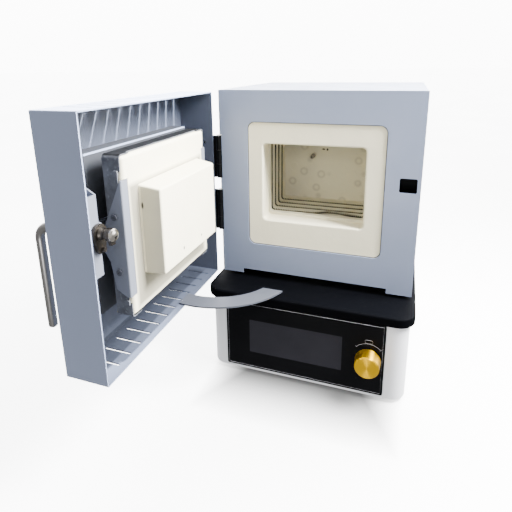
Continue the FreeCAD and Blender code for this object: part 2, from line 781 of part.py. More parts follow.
def base_housing():
    outer = box(HOUSE_X0, HOUSE_X1, HOUSE_Y0, HOUSE_Y1, HOUSE_Z0, PLATE_Z0)
    upright = edges_along(outer, V(0, 0, 1))
    front = [e for e in upright if e.BoundBox.YMax < 0]
    outer = outer.makeFillet(HOUSE_R, front)
    back = [e for e in edges_along(outer, V(0, 0, 1)) if e.BoundBox.YMin > HOUSE_Y1 - 1]
    outer = outer.makeFillet(HOUSE_BACK_R, back)
    x0, x1 = HOUSE_X0 + HOUSE_T, HOUSE_X1 - HOUSE_T
    y0, y1 = HOUSE_Y0 + HOUSE_T, HOUSE_Y1 - HOUSE_T
    inner = box(x0, x1, y0, y1, HOUSE_Z0 - 1, PLATE_Z0 + 1)
    front = [e for e in edges_along(inner, V(0, 0, 1)) if e.BoundBox.YMax < 0]
    inner = inner.makeFillet(HOUSE_R - HOUSE_T, front)
    pocket = box(
        GLASS_X0 - GLASS_FIT,
        GLASS_X1 + GLASS_FIT,
        GLASS_Y - 1,
        GLASS_Y + GLASS_T,
        GLASS_Z0 - GLASS_FIT,
        PLATE_Z0 + 1,
    )
    window = box(
        GLASS_X0 + GLASS_LEDGE,
        GLASS_X1 - GLASS_LEDGE,
        HOUSE_Y0 - 1,
        HOUSE_Y0 + HOUSE_T + 1,
        GLASS_Z0 + GLASS_LEDGE,
        GLASS_Z1 - GLASS_LEDGE,
    )
    wall = (HOUSE_Y1 - HOUSE_T - 1, HOUSE_Y1 + 1)
    cuts = [inner, pocket, window]
    cuts.append(box(INLET_X - 14, INLET_X + 14, wall[0], wall[1], INLET_Z - 10.5, INLET_Z + 10.5))
    cuts.append(box(SWITCH_X - 10, SWITCH_X + 10, wall[0], wall[1], INLET_Z - 7, INLET_Z + 7))
    cuts.append(rod("y", FUSE_X, INLET_Z, wall[0], wall[1], 6.0))
    for number in range(VENT_COUNT):
        x = HOUSE_X1 - VENT_IN - VENT_PITCH * number
        slot = box(x - VENT_W, x, wall[0], wall[1], VENT_Z0, VENT_Z1)
        cuts.append(rounded(slot, "y", VENT_W / 2 - 0.05))
    return outer.cut(cuts)


def pan_screw_points():
    return [(x, y) for y in PAN_SCREW_Y for x in (HOUSE_X0 + PAN_SCREW_IN, HOUSE_X1 - PAN_SCREW_IN)]


def base_pan():
    edge = HOUSE_T + SEAT
    x0, x1 = HOUSE_X0 + edge, HOUSE_X1 - edge
    pan = box(x0, x1, HOUSE_Y0 + edge, HOUSE_Y1 - edge, HOUSE_Z0, HOUSE_Z0 + SHEET)
    front = [e for e in edges_along(pan, V(0, 0, 1)) if e.BoundBox.YMax < 0]
    pan = pan.makeFillet(HOUSE_R - edge, front)
    lips = []
    for start in (x0, x1 - SHEET):
        lips.append(box(start, start + SHEET, 0, HOUSE_Y1 - 29, HOUSE_Z0, HOUSE_Z0 + 12))
    pan = joined([pan] + lips)
    cuts = [rod("z", x, y, HOUSE_Z0 - 1, HOUSE_Z0 + SHEET + 1, SCREW_HOLE) for x, y in pan_screw_points()]
    for number in range(PAN_SLOT_COUNT):
        y = PAN_SLOT_Y + PAN_SLOT_PITCH * number
        slot = box(PAN_SLOT_X, PAN_SLOT_X + PAN_SLOT_W, y, y + 3, HOUSE_Z0 - 1, HOUSE_Z0 + SHEET + 1)
        cuts.append(rounded(slot, "z", 1.45))
    return pan.cut(cuts)


def body_screws():
    """Every screw of one size in the fixed body: rear cover, body hinge leaves and base pan."""
    back = BODY_D + SHEET
    made = [screw(V(x, back, z), V(0, 1, 0), SCREW_R, 1.8, SHEET + WALL) for x, z in rear_screw_points()]
    made += [screw(p, V(-1, 0, 0), SCREW_R, 1.8, LEAF_T + WALL) for p in side_screw_points()]
    made += [screw(V(x, y, HOUSE_Z0), V(0, 0, -1), SCREW_R, 1.8, SHEET) for x, y in pan_screw_points()]
    return Part.makeCompound(made)


def feet():
    made = []
    for x, y in FOOT_AT:
        profile = [(0, 0), (0, FOOT_R), (FOOT_H - 1.0, FOOT_R - 0.8), (FOOT_H, FOOT_R - 1.8), (FOOT_H, 0)]
        made.append(turned(profile, V(x, y, HOUSE_Z0), V(0, 0, -1)))
    return Part.makeCompound(made)


def glass_panel():
    glass = rounded(box(GLASS_X0, GLASS_X1, GLASS_Y, GLASS_Y + GLASS_T, GLASS_Z0, GLASS_Z1), "y", 2.0)
    window = box(DISPLAY_X0, DISPLAY_X1, GLASS_Y - 1, GLASS_Y + GLASS_T + 1, DISPLAY_Z0, DISPLAY_Z1)
    window = rounded(window, "y", 1.0)
    hole = rod("y", KNOB_X, KNOB_Z, GLASS_Y - 1, GLASS_Y + GLASS_T + 1, 4.6)
    return glass.cut([window, hole])


def display_window():
    lens = box(DISPLAY_X0, DISPLAY_X1, GLASS_Y + 0.15, GLASS_Y + GLASS_T, DISPLAY_Z0, DISPLAY_Z1)
    return rounded(lens, "y", 1.0)


def display_module():
    frame = box(
        DISPLAY_X0 - 5, DISPLAY_X1 + 5, GLASS_Y + GLASS_T, BOARD_Y, DISPLAY_Z0 - 6, DISPLAY_Z1 + 6
    )
    return rounded(frame, "y", 1.5)


def standoff_points():
    sides = (HOUSE_X0 + STANDOFF_IN, HOUSE_X1 - STANDOFF_IN)
    return [(x, z) for z in (STANDOFF_Z1, STANDOFF_Z0) for x in sides]


def controller_board():
    x0, x1 = HOUSE_X0 + HOUSE_T + BOARD_EDGE, HOUSE_X1 - HOUSE_T - BOARD_EDGE
    y1 = BOARD_Y + BOARD_SHEET
    board = rounded(box(x0, x1, BOARD_Y, y1, STANDOFF_Z0 - 5, STANDOFF_Z1 + 5), "y", 2.0)
    parts = [board]
    for dx, z, w, h, d in BOARD_CHIPS:
        parts.append(box(x0 + dx, x0 + dx + w, y1, y1 + d, z - h, z))
    for dx in BOARD_CANS:
        parts.append(rod("y", x0 + dx, STANDOFF_Z0 + 7, y1, y1 + 10.4, 4.0))
    return joined(parts)


def board_standoffs():
    return Part.makeCompound(
        [rod("y", x, z, HOUSE_Y0 + HOUSE_T, BOARD_Y, 3.0) for x, z in standoff_points()]
    )


def encoder_body():
    y0 = GLASS_Y + GLASS_T + 0.4
    side = ENCODER_W / 2
    case = rounded(box(KNOB_X - side, KNOB_X + side, y0, BOARD_Y, KNOB_Z - side, KNOB_Z + side), "y", 1.0)
    bush = rod("y", KNOB_X, KNOB_Z, GLASS_Y - 2.4, y0 + 1, STEM_R + 1.3)
    bore = rod("y", KNOB_X, KNOB_Z, GLASS_Y - 4, y0 + 2.2, STEM_R + RUN)
    room = rod("y", KNOB_X, KNOB_Z, y0 + 2.0, BOARD_Y - 1.5, STEM_R + 2.0)
    return joined([case, bush]).cut([bore, room])


def encoder_plunger():
    """The sprung cap that the knob's shaft presses."""
    y0 = GLASS_Y + GLASS_T + 0.4 + 2.0 + 3.0
    return rod("y", KNOB_X, KNOB_Z, y0, y0 + 1.2, STEM_R)


def encoder_stem():
    """The knob's shaft, with the collar at its inner end that stops it coming out."""
    y1 = GLASS_Y + GLASS_T + 0.4 + 2.0 + 1.0
    stem = rod("y", KNOB_X, KNOB_Z, KNOB_Y0 + KNOB_CAP, y1, STEM_R)
    return joined([stem, rod("y", KNOB_X, KNOB_Z, y1 - 0.5, y1 + 2.0, STEM_R + 1.4)])


def control_knob():
    depth = KNOB_Y1 - KNOB_Y0
    profile = [
        (0, 0),
        (0, KNOB_R - 2.2),
        (1.2, KNOB_R - 0.9),
        (depth - 1.2, KNOB_R),
        (depth, KNOB_R - 0.8),
        (depth, 0),
    ]
    knob = turned(profile, V(KNOB_X, KNOB_Y0, KNOB_Z), V(0, 1, 0))
    bore = rod("y", KNOB_X, KNOB_Z, KNOB_Y0 + KNOB_CAP, KNOB_Y1 + 1, STEM_R)
    room = rod("y", KNOB_X, KNOB_Z, KNOB_Y1 - 2.5, KNOB_Y1 + 1, KNOB_R - 6.0)
    return knob.cut([bore, room])


def heat_sink():
    x0, x1, y0, y1 = SINK_X, SINK_X + SINK_W, SINK_Y, SINK_Y + SINK_D
    z0 = HOUSE_Z0 + SHEET
    z1 = z0 + SINK_H
    parts = [box(x0, x1, y0, y1, z1 - SINK_BASE, z1)]
    for number in range(SINK_FINS):
        x = x0 + (x1 - x0 - SINK_FIN_T) * number / (SINK_FINS - 1)
        parts.append(box(x, x + SINK_FIN_T, y0, y1, z0, z1 - SINK_BASE + 1))
    return joined(parts)


def solid_state_relay():
    z0 = HOUSE_Z0 + SHEET + SINK_H
    x0, y0 = SINK_X + RELAY_X, SINK_Y + RELAY_Y
    x1, y1 = x0 + RELAY_W, y0 + RELAY_D
    body = rounded(box(x0, x1, y0, y1, z0, z0 + RELAY_H), "z", 3.0)
    cuts = [
        box(x0 - 1, x1 + 1, y0 - 1, y0 + RELAY_STEP, z0 + RELAY_LOW, z0 + RELAY_H + 1),
        box(x0 - 1, x1 + 1, y1 - RELAY_STEP, y1 + 1, z0 + RELAY_LOW, z0 + RELAY_H + 1),
    ]
    return body.cut(cuts)


def power_supply():
    """A board on four posts with its transformer, two capacitors and a filter."""
    z0 = HOUSE_Z0 + SHEET
    x1 = HOUSE_X1 - SUPPLY_IN
    x0 = x1 - SUPPLY_W
    y0, y1 = SUPPLY_Y, SUPPLY_Y + SUPPLY_D
    top = z0 + SUPPLY_POST + 2
    parts = [box(x0, x1, y0, y1, z0 + SUPPLY_POST, top)]
    for x in (x0 + 5, x1 - 5):
        for y in (y0 + 5, y1 - 5):
            parts.append(rod("z", x, y, z0, z0 + SUPPLY_POST + 1, 3.0))
    parts.append(box(x0 + 8, x0 + 40, y0 + 20, y0 + 58, top - 0.1, top + 28))
    parts.append(rod("z", x1 - 16, y0 + 30, top - 0.1, top + 30, 9.0))
    parts.append(rod("z", x1 - 16, y0 + 54, top - 0.1, top + 25, 7.0))
    parts.append(box(x0 + 6, x0 + 32, y1 - 28, y1 - 8, top - 0.1, top + 14))
    return joined(parts)


def supply_leads():
    """Two wires from the relay up through the grommet to the terminal block."""
    wires = []
    z0 = HOUSE_Z0 + SHEET + SINK_H + RELAY_LOW
    x0 = SINK_X + RELAY_X + RELAY_W / 2
    y0 = SINK_Y + RELAY_Y + RELAY_D - RELAY_STEP / 2
    for side, z in ((-LEAD_SPLIT, LEAD_Z[0]), (LEAD_SPLIT, LEAD_Z[1])):
        low = LEAD_LOW + 2 * side
        high = LEAD_HIGH + 4 * side
        y1 = GROMMET_Y + 3 * side
        points = [
            V(x0 + 6 * side, y0, z0),
            V(x0 + 6 * side, y0, low),
            V(GROMMET_X + side, GROMMET_Y, low),
            V(GROMMET_X + side, GROMMET_Y, high),
            V(LEAD_X, y1, high),
            V(LEAD_X, y1, z),
            V(LEAD_X, COOL_BACK + TERMINAL_D * 0.7, z),
        ]
        wires.append(pipe(points, LEAD_WIRE_R))
    return Part.makeCompound(wires)


def wire_grommet():
    top = FLOOR_Z + WALL
    parts = [
        rod("z", GROMMET_X, GROMMET_Y, PLATE_Z0, top, GROMMET_R - RUN),
        rod("z", GROMMET_X, GROMMET_Y, PLATE_Z0 - 1.6, PLATE_Z0, GROMMET_R + 3),
        rod("z", GROMMET_X, GROMMET_Y, top, top + 1.6, GROMMET_R + 3),
    ]
    return joined(parts).cut(rod("z", GROMMET_X, GROMMET_Y, PLATE_Z0 - 5, top + 5, GROMMET_R - 2.5))


def inlet_socket():
    y1 = HOUSE_Y1
    outline = [(-13.7, -10.2), (13.7, -10.2), (13.7, 5.5), (9.5, 10.2), (-9.5, 10.2), (-13.7, 5.5)]
    body = prism("y", [(INLET_X + a, INLET_Z + b) for a, b in outline], y1 - 24, y1 + 0.5)
    flange = rounded(box(INLET_X - 17, INLET_X + 17, y1, y1 + REAR_LIP, INLET_Z - 12, INLET_Z + 12), "y", 2.5)
    hole = [(-12.0, -8.2), (12.0, -8.2), (12.0, 4.4), (8.4, 8.2), (-8.4, 8.2), (-12.0, 4.4)]
    room = prism("y", [(INLET_X + a, INLET_Z + b) for a, b in hole], y1 - 13.5, y1 + REAR_LIP + 1)
    parts = joined([body, flange]).cut(room)
    pins = [
        box(INLET_X + a - 2, INLET_X + a + 2, y1 - 14.5, y1 - 4.0, INLET_Z + b - 1, INLET_Z + b + 1)
        for a, b in ((-7.0, -2.0), (0.0, 2.2), (7.0, -2.0))
    ]
    return joined([parts] + pins)


def mains_switch_frame():
    y1 = HOUSE_Y1
    body = box(SWITCH_X - 9.7, SWITCH_X + 9.7, y1 - 16, y1 + 0.5, INLET_Z - 6.7, INLET_Z + 6.7)
    flange = box(SWITCH_X - 11.5, SWITCH_X + 11.5, y1, y1 + 1.8, INLET_Z - 8.5, INLET_Z + 8.5)
    flange = rounded(flange, "y", 1.5)
    room = box(SWITCH_X - 8.2, SWITCH_X + 8.2, y1 - 7, y1 + 3, INLET_Z - 5.2, INLET_Z + 5.2)
    pivot = [
        rod("z", SWITCH_X, y1 - 2.5, INLET_Z - 5.6, INLET_Z - 3.6, 1.2),
        rod("z", SWITCH_X, y1 - 2.5, INLET_Z + 3.6, INLET_Z + 5.6, 1.2),
    ]
    return joined([joined([body, flange]).cut(room)] + pivot)


def mains_switch_rocker():
    """Pivots on two stubs. Its outer face is a shallow V, drawn with the left half pushed in."""
    y = HOUSE_Y1 - 2.5
    tilt = 8.0
    outline = [(-7.4, 3.2), (0.0, 1.4), (7.4, 3.2), (7.4, -0.6), (2.2, -2.2), (-2.2, -2.2), (-7.4, -0.6)]
    body = prism("z", [(SWITCH_X + a, y + b) for a, b in outline], INLET_Z - 4.8, INLET_Z + 4.8)
    holes = [
        rod("z", SWITCH_X, y, INLET_Z - 5.0, INLET_Z - 3.5, 1.25),
        rod("z", SWITCH_X, y, INLET_Z + 3.5, INLET_Z + 5.0, 1.25),
    ]
    body = body.cut(holes)
    body.rotate(V(SWITCH_X, y, INLET_Z), V(0, 0, 1), tilt)
    return body


def fuse_holder():
    y1 = HOUSE_Y1
    profile = [(0, 0), (0, 5.9), (26, 5.9), (26, 7.8), (27.8, 7.8), (28.6, 6.6), (28.6, 0)]
    body = turned(profile, V(FUSE_X, y1 - 26, INLET_Z), V(0, 1, 0))
    slot = box(FUSE_X - 5, FUSE_X + 5, y1 + 1.8, y1 + 5, INLET_Z - 0.7, INLET_Z + 0.7)
    return body.cut(slot)


# Door


def slot_centres():
    """Where the air slots stand along the door, evenly from the hinge side to the free side."""
    first = DOOR_HINGE_Y - SLOT_FIRST
    last = DOOR_FREE_Y + SLOT_LAST
    return [first + (last - first) * k / (SLOT_COUNT - 1) for k in range(SLOT_COUNT)]


def door_screw_points():
    """Where the door leaves of the hinges are screwed to the door's hinge side."""
    x = RIM_X - LEAF_W * 0.45
    ends = (HINGE_SCREW_END, HINGE_H - HINGE_SCREW_END)
    return [V(x, DOOR_HINGE_Y + LEAF_T, base + dz) for base in HINGE_Z for dz in ends]


def door_tray():
    outer = box(OUTER_X, RIM_X, DOOR_FREE_Y, DOOR_HINGE_Y, DOOR_Z0, DOOR_Z1)
    outer = rounded(outer, "x", 1.2)
    outer = outer.makeFillet(1.2, rim_edges(outer, "x", OUTER_X))
    inner = box(
        PLATE_INSIDE,
        RIM_X + 1,
        DOOR_FREE_Y + SHEET,
        DOOR_HINGE_Y - SHEET,
        DOOR_Z0 + SHEET,
        DOOR_Z1 - SHEET,
    )
    cuts = [inner]
    for y in slot_centres():
        slot = box(SLOT_X0, SLOT_X1, y - SLOT_W / 2, y + SLOT_W / 2, DOOR_Z0 - 1, DOOR_Z0 + SHEET + 1)
        cuts.append(rounded(slot, "z", SLOT_W / 2 - 0.02))
        slot = box(SLOT_X0, SLOT_X1, y - SLOT_W / 2, y + SLOT_W / 2, DOOR_Z1 - SHEET - 1, DOOR_Z1 + 1)
        cuts.append(rounded(slot, "z", SLOT_W / 2 - 0.02))
    cuts.append(rod("x", LATCH_Y, LATCH_Z, OUTER_X - 1, PLATE_INSIDE + 1, BUSH_R + 0.5))
    for p in door_screw_points():
        cuts.append(rod("y", p.x, p.z, DOOR_HINGE_Y - SHEET - 1, DOOR_HINGE_Y + 1, SCREW_HOLE))
    return outer.cut(cuts)


def door_liner():
    outer = box(PLATE_INSIDE, LINER_X, LINER_Y0, LINER_Y1, LINER_Z0, LINER_Z1)
    outer = rounded(outer, "x", 2.0)
    inner = box(
        PLATE_INSIDE - 1, LINER_X - WALL, LINER_Y0 + WALL, LINER_Y1 - WALL, LINER_Z0 + WALL, LINER_Z1 - WALL
    )
    return outer.cut(inner)


def door_insulation():
    edge = WALL + SEAT
    return box(
        PLATE_INSIDE,
        LINER_X - WALL - SEAT,
        LINER_Y0 + edge,
        LINER_Y1 - edge,
        LINER_Z0 + edge,
        LINER_Z1 - edge,
    )


def arc_bar():
    """A flat ring sector about the hinge axis, standing on the door's floor and cut square at its tip."""
    z0 = DOOR_Z0 + SHEET
    ring = rod("z", HINGE_X, HINGE_Y, z0, z0 + ARC_T, ARC_ROUT)
    ring = ring.cut(rod("z", HINGE_X, HINGE_Y, z0 - 1, z0 + ARC_T + 1, ARC_RIN))
    keep = box(ARC_ROOT_X, 200, -200, ARC_TIP_Y, z0 - 1, z0 + ARC_T + 1)
    return ring.common(keep)


def door_hinge_leaves():
    leaves = []
    edge = HINGE_X - KNUCKLE_R - LEAF_GAP
    for base in HINGE_Z:
        low, mid, top = knuckle_spans(base)
        y0, y1 = DOOR_HINGE_Y, DOOR_HINGE_Y + LEAF_T
        plate = box(RIM_X - LEAF_W, edge, y0, y1, base, base + HINGE_H)
        strap = box(edge - 1, HINGE_X, y0, y1, mid[0], mid[1])
        knuckle = rod("z", HINGE_X, HINGE_Y, mid[0], mid[1], KNUCKLE_R)
        leaf = joined([plate, strap, knuckle])
        cuts = [rod("z", HINGE_X, HINGE_Y, base - 1, base + HINGE_H + 1, PIN_R + RUN)]
        cuts += [rod("y", p.x, p.z, y0 - 1, y1 + 1, SCREW_HOLE) for p in door_screw_points()]
        leaves.append(leaf.cut(cuts))
    return Part.makeCompound(leaves)


def door_hinge_screws():
    return Part.makeCompound(
        [screw(p, V(0, 1, 0), SCREW_R, 1.6, LEAF_T + SHEET) for p in door_screw_points()]
    )


def pivot_lugs():
    """Two bent lugs on the liner that carry the plug, just inside the two arms."""
    lugs = []
    top = PAN_X0 - LUG_CLEAR
    foot = LUG_R + 6
    for y0, way in ((PAN_Y0 + SEAT, 1), (PAN_Y1 - SEAT - LUG_T, -1)):
        y1 = y0 + LUG_T
        ear = box(LINER_X, top, y0, y1, PIVOT_Z - LUG_R, PIVOT_Z + LUG_R)
        ear = ear.fuse(rod("y", PIVOT_X, PIVOT_Z, y0, y1, LUG_R))
        start = y0 if way > 0 else y1 - 6 * LUG_T
        base = box(LINER_X, LINER_X + 2, start, start + 6 * LUG_T, PIVOT_Z - foot, PIVOT_Z + foot)
        keep = box(LINER_X, top, y0 - 30, y1 + 30, PIVOT_Z - foot, PIVOT_Z + foot)
        lug = joined([ear, base]).common(keep)
        lugs.append(lug.cut(rod("y", PIVOT_X, PIVOT_Z, y0 - 1, y1 + 1, PIVOT_R + TURN)))
    return Part.makeCompound(lugs)


def latch_bush():
    centre = V(OUTER_X - 2.0, LATCH_Y, LATCH_Z)
    inner = ROD_R + TURN
    profile = [
        (0, inner),
        (0, BUSH_R + 3.0),
        (1.0, BUSH_R + 3.5),
        (2.0, BUSH_R + 3.5),
        (2.0, BUSH_R + 0.5),
        (9.0, BUSH_R + 0.5),
        (9.0, inner),
    ]
    return turned(profile, centre, V(1, 0, 0))


def latch_bracket():
    """A bent plate from the door's back to its free side, with an ear that steadies the latch shaft."""
    x0, x1 = BRACKET_X - SHEET, BRACKET_X
    y0, y1 = BRACKET_Y - SHEET, BRACKET_Y
    wall = DOOR_FREE_Y + SHEET
    half = (PLATE_INSIDE + BRACKET_X) / 2 + 3
    face = box(x0, x1, wall, y1, BRACKET_Z0, BRACKET_Z1)
    outline = [
        (x1, BRACKET_Z0),
        (x1, BRACKET_Z1),
        (half, BRACKET_TOP),
        (PLATE_INSIDE, BRACKET_TOP),
        (PLATE_INSIDE, BRACKET_FOOT),
        (half, BRACKET_FOOT),
    ]
    web = prism("y", outline, y0, y1)
    web = web.cut(box(PLATE_INSIDE - 1, x0, y0 - 1, y1 + 1, LATCH_Z - BUSH_ROOM, LATCH_Z + BUSH_ROOM))
    ear = rod("x", LATCH_Y, LATCH_Z, x0, x1, BRACKET_EAR)
    bush = rod("x", LATCH_Y, LATCH_Z, x0 - 6, x0 + 0.5, BUSH_R)
    shape = joined([face, web, ear, bush])
    return shape.cut(rod("x", LATCH_Y, LATCH_Z, x0 - 8, x1 + 1, ROD_R + TURN))


# Plug


def carrier_pan():
    """The tray that holds the cast plug. Its side walls stand higher at the four corners."""
    outer = rounded(box(PAN_X0, PAN_TAB_X, PAN_Y0, PAN_Y1, PAN_Z0, PAN_Z1), "x", SLAB_R + SEAT + WALL)
    inner = box(PAN_X0 + WALL, 0, SLAB_Y0 - SEAT, SLAB_Y1 + SEAT, SLAB_Z0 - SEAT, SLAB_Z1 + SEAT)
    inner = rounded(inner, "x", SLAB_R + SEAT)
    low_middle = box(PAN_X1, 0, PAN_Y0 - 1, PAN_Y1 + 1, PAN_Z0 + PAN_TAB, PAN_Z1 - PAN_TAB)
    low_ends = box(PAN_X1, 0, PAN_Y0 + PAN_TAB, PAN_Y1 - PAN_TAB, PAN_Z0 - 1, PAN_Z1 + 1)
    return outer.cut([inner, low_middle, low_ends])


def plug_block():
    """The cast plug: a flat slab with a raised block that enters the chamber mouth."""
    slab = box(PAN_X0 + WALL, SLAB_X, SLAB_Y0, SLAB_Y1, SLAB_Z0, SLAB_Z1)
    slab = rounded(slab, "x", SLAB_R)
    slab = slab.makeFillet(SLAB_EDGE_R, rim_edges(slab, "x", SLAB_X))
    rest = ARM_LIP - ARM_T - WALL
    for y0, y1 in ((SLAB_Y0 - 1, SLAB_Y0 + rest), (SLAB_Y1 - rest, SLAB_Y1 + 1)):
        slab = slab.cut(box(SLAB_X - ARM_T - RUN, SLAB_X + 1, y0, y1, ARM_Z0 - SEAT, ARM_Z1 + SEAT))
    t = BLOCK_TAPER
    z1 = BLOCK_Z1 - BLOCK_TOP_TAPER
    foot = box_outline(SLAB_X - 1, BLOCK_Y0, BLOCK_Y1, BLOCK_Z0, BLOCK_Z1)
    face = box_outline(BLOCK_X, BLOCK_Y0 + t, BLOCK_Y1 - t, BLOCK_Z0, z1)
    block = Part.makeLoft([foot, face], True, True)
    block = block.makeFillet(2.0, [e for e in block.Edges if e.BoundBox.XMax > BLOCK_X - 0.5])
    return joined([slab, block])


def carrier_arms():
    """A bent arm on each side: a three-cornered web down to the pivot and a lip over the slab's edge."""
    arms = []
    x1 = SLAB_X
    for y0, y1, side in ((PAN_Y0 - ARM_T, PAN_Y0, -1), (PAN_Y1, PAN_Y1 + ARM_T, 1)):
        outline = [
            (x1, ARM_Z0),
            (x1, ARM_Z1),
            (x1 - 2.0, ARM_Z1 - 2.0),
            (PIVOT_X + 3.5, PIVOT_Z + 11.0),
            (PIVOT_X - 1.0, PIVOT_Z + LUG_R),
            (PIVOT_X - 1.0, PIVOT_Z - LUG_R),
            (PIVOT_X + 6.5, PIVOT_Z - 21.0),
            (PIVOT_X + 10.5, PIVOT_Z - 47.5),
            (x1 - 4.0, ARM_Z0),
        ]
        web = prism("y", outline, y0, y1)
        ear = rod("y", PIVOT_X, PIVOT_Z, y0, y1, LUG_R)
        if side < 0:
            lip = box(x1 - ARM_T, x1, y0, y0 + ARM_LIP, ARM_Z0, ARM_Z1)
        else:
            lip = box(x1 - ARM_T, x1, y1 - ARM_LIP, y1, ARM_Z0, ARM_Z1)
        arm = joined([web, ear, lip])
        bend = [e for e in rim_edges(arm, "x", x1) if e.Length > ARM_Z1 - ARM_Z0 - 4]
        outer = y0 if side < 0 else y1
        bend = [e for e in bend if abs(e.BoundBox.Center.y - outer) < 0.2]
        arm = arm.makeFillet(ARM_T - 0.1, bend)
        holes = [rod("y", PIVOT_X, PIVOT_Z, y0 - 1, y1 + 1, PIVOT_R)]
        holes += [rod("y", x, z, y0 - 1, y1 + 1, SCREW_HOLE) for x, z in arm_screw_points()]
        arms.append(arm.cut(holes))
    return Part.makeCompound(arms)


def arm_screw_points():
    return [(ARM_SCREW_X, z) for z in ARM_SCREW_Z]


def arm_screws():
    made = []
    for x, z in arm_screw_points():
        made.append(screw(V(x, PAN_Y0 - ARM_T, z), V(0, -1, 0), SCREW_R, 1.6, ARM_T))
        made.append(screw(V(x, PAN_Y1 + ARM_T, z), V(0, 1, 0), SCREW_R, 1.6, ARM_T))
    return Part.makeCompound(made)


def pivot_pins():
    pins = []
    length = ARM_T + SEAT + LUG_T + 2.0
    for y, way in ((PAN_Y0 - ARM_T, 1), (PAN_Y1 + ARM_T, -1)):
        profile = [
            (-2.4, 0),
            (-2.4, PIVOT_R + 1.2),
            (-1.6, PIVOT_R + 2.0),
            (0, PIVOT_R + 2.0),
            (0, PIVOT_R),
            (length, PIVOT_R),
            (length, 0),
        ]
        pins.append(turned(profile, V(PIVOT_X, y, PIVOT_Z), V(0, way, 0)))
    return Part.makeCompound(pins)


def corner_clips():
    """Four small clips on the pan's side walls, above and below the arms."""
    clips = []
    for y0, y1 in ((PAN_Y0 - CLIP_OUT, PAN_Y0), (PAN_Y1, PAN_Y1 + CLIP_OUT)):
        for z in (ARM_Z0 - CLIP_GAP - CLIP_H, ARM_Z1 + CLIP_GAP):
            clip = box(PAN_X1 - 3.0, PAN_X1 + 1.5, y0, y1, z, z + CLIP_H)
            clips.append(rounded(clip, "y", 0.8))
    return Part.makeCompound(clips)


# Latch


def handle_rod():
    """One round bar: the latch shaft, a bend outside the door, and the grip hanging down."""
    start = V(NOSE_X0 + NOSE_T, LATCH_Y, LATCH_Z)
    bend = HANDLE_BEND
    inset = bend * (1 - math.sin(math.radians(45)))
    corner = V(HANDLE_X + bend, LATCH_Y, LATCH_Z)
    middle = V(HANDLE_X + inset, LATCH_Y, LATCH_Z - inset)
    down = V(HANDLE_X, LATCH_Y, LATCH_Z - bend)
    foot = V(HANDLE_X, LATCH_Y, HANDLE_Z)
    spine = Part.Wire(
        [
            Part.makeLine(start, corner),
            Part.Arc(corner, middle, down).toShape(),
            Part.makeLine(down, foot),
        ]
    )
    circle = Part.makeCircle(ROD_R, start, V(-1, 0, 0))
    bar = spine.makePipeShell([Part.Wire([circle])], True, False)
    return bar.makeChamfer(1.2, rim_edges(bar, "z", HANDLE_Z))


def latch_cam():
    """A flat drop-shaped plate on the shaft with a pin near its lower end."""
    x0 = BRACKET_X + CAM_GAP
    x1 = x0 + CAM_T
    top = rod("x", LATCH_Y, LATCH_Z, x0, x1, CAM_R)
    tail = prism(
        "x",
        [
            (LATCH_Y - CAM_R + 0.6, LATCH_Z - 2),
            (LATCH_Y + CAM_R - 0.6, LATCH_Z - 2),
            (LATCH_Y + CAM_R - 2.6, LATCH_Z - CAM_LEN + 3),
            (LATCH_Y + CAM_R - 4.6, LATCH_Z - CAM_LEN),
            (LATCH_Y - CAM_R + 5.6, LATCH_Z - CAM_LEN),
            (LATCH_Y - CAM_R + 3.2, LATCH_Z - CAM_LEN + 3),
        ],
        x0,
        x1,
    )
    pin = rod("x", LATCH_Y + 1.2, LATCH_Z - CAM_LEN + 3, x1 - 0.5, x1 + 2.2, CAM_PIN_R)
    hole = rod("x", LATCH_Y, LATCH_Z, x0 - 1, x1 + 1, ROD_R)
    return joined([top, tail, pin]).cut(hole)


def latch_spacer():
    """A waisted sleeve between the cam and the nose."""
    x0 = BRACKET_X + CAM_GAP + CAM_T
    length = NOSE_X0 - x0
    profile = [
        (0, ROD_R),
        (0, NOSE_R),
        (1.4, NOSE_R),
        (length * 0.4, NOSE_R - 0.9),
        (length * 0.6, NOSE_R - 0.9),
        (length - 1.4, NOSE_R),
        (length, NOSE_R),
        (length, ROD_R),
    ]
    return turned(profile, V(x0, LATCH_Y, LATCH_Z), V(1, 0, 0))


def latch_nose():
    x0, x1 = NOSE_X0, NOSE_X0 + NOSE_T
    ring = rod("x", LATCH_Y, LATCH_Z, x0, x1, NOSE_R)
    tail = prism(
        "x",
        [
            (LATCH_Y - 3.5, LATCH_Z - 3),
            (LATCH_Y + 3.5, LATCH_Z - 3),
            (LATCH_Y + 3.0, LATCH_Z - NOSE_LEN),
            (LATCH_Y - 1.5, LATCH_Z - NOSE_LEN),
        ],
        x0,
        x1,
    )
    return joined([ring, tail]).cut(rod("x", LATCH_Y, LATCH_Z, x0 - 1, x1 + 1, ROD_R))


def dome_nut():
    centre = V(NOSE_X0 + NOSE_T, LATCH_Y, LATCH_Z)
    profile = [
        (0, 0),
        (0, NOSE_R),
        (1.2, NOSE_R),
        (2.6, NOSE_R - 1.0),
        (3.6, NOSE_R - 3.0),
        (4.0, 0),
    ]
    return turned(profile, centre, V(1, 0, 0))


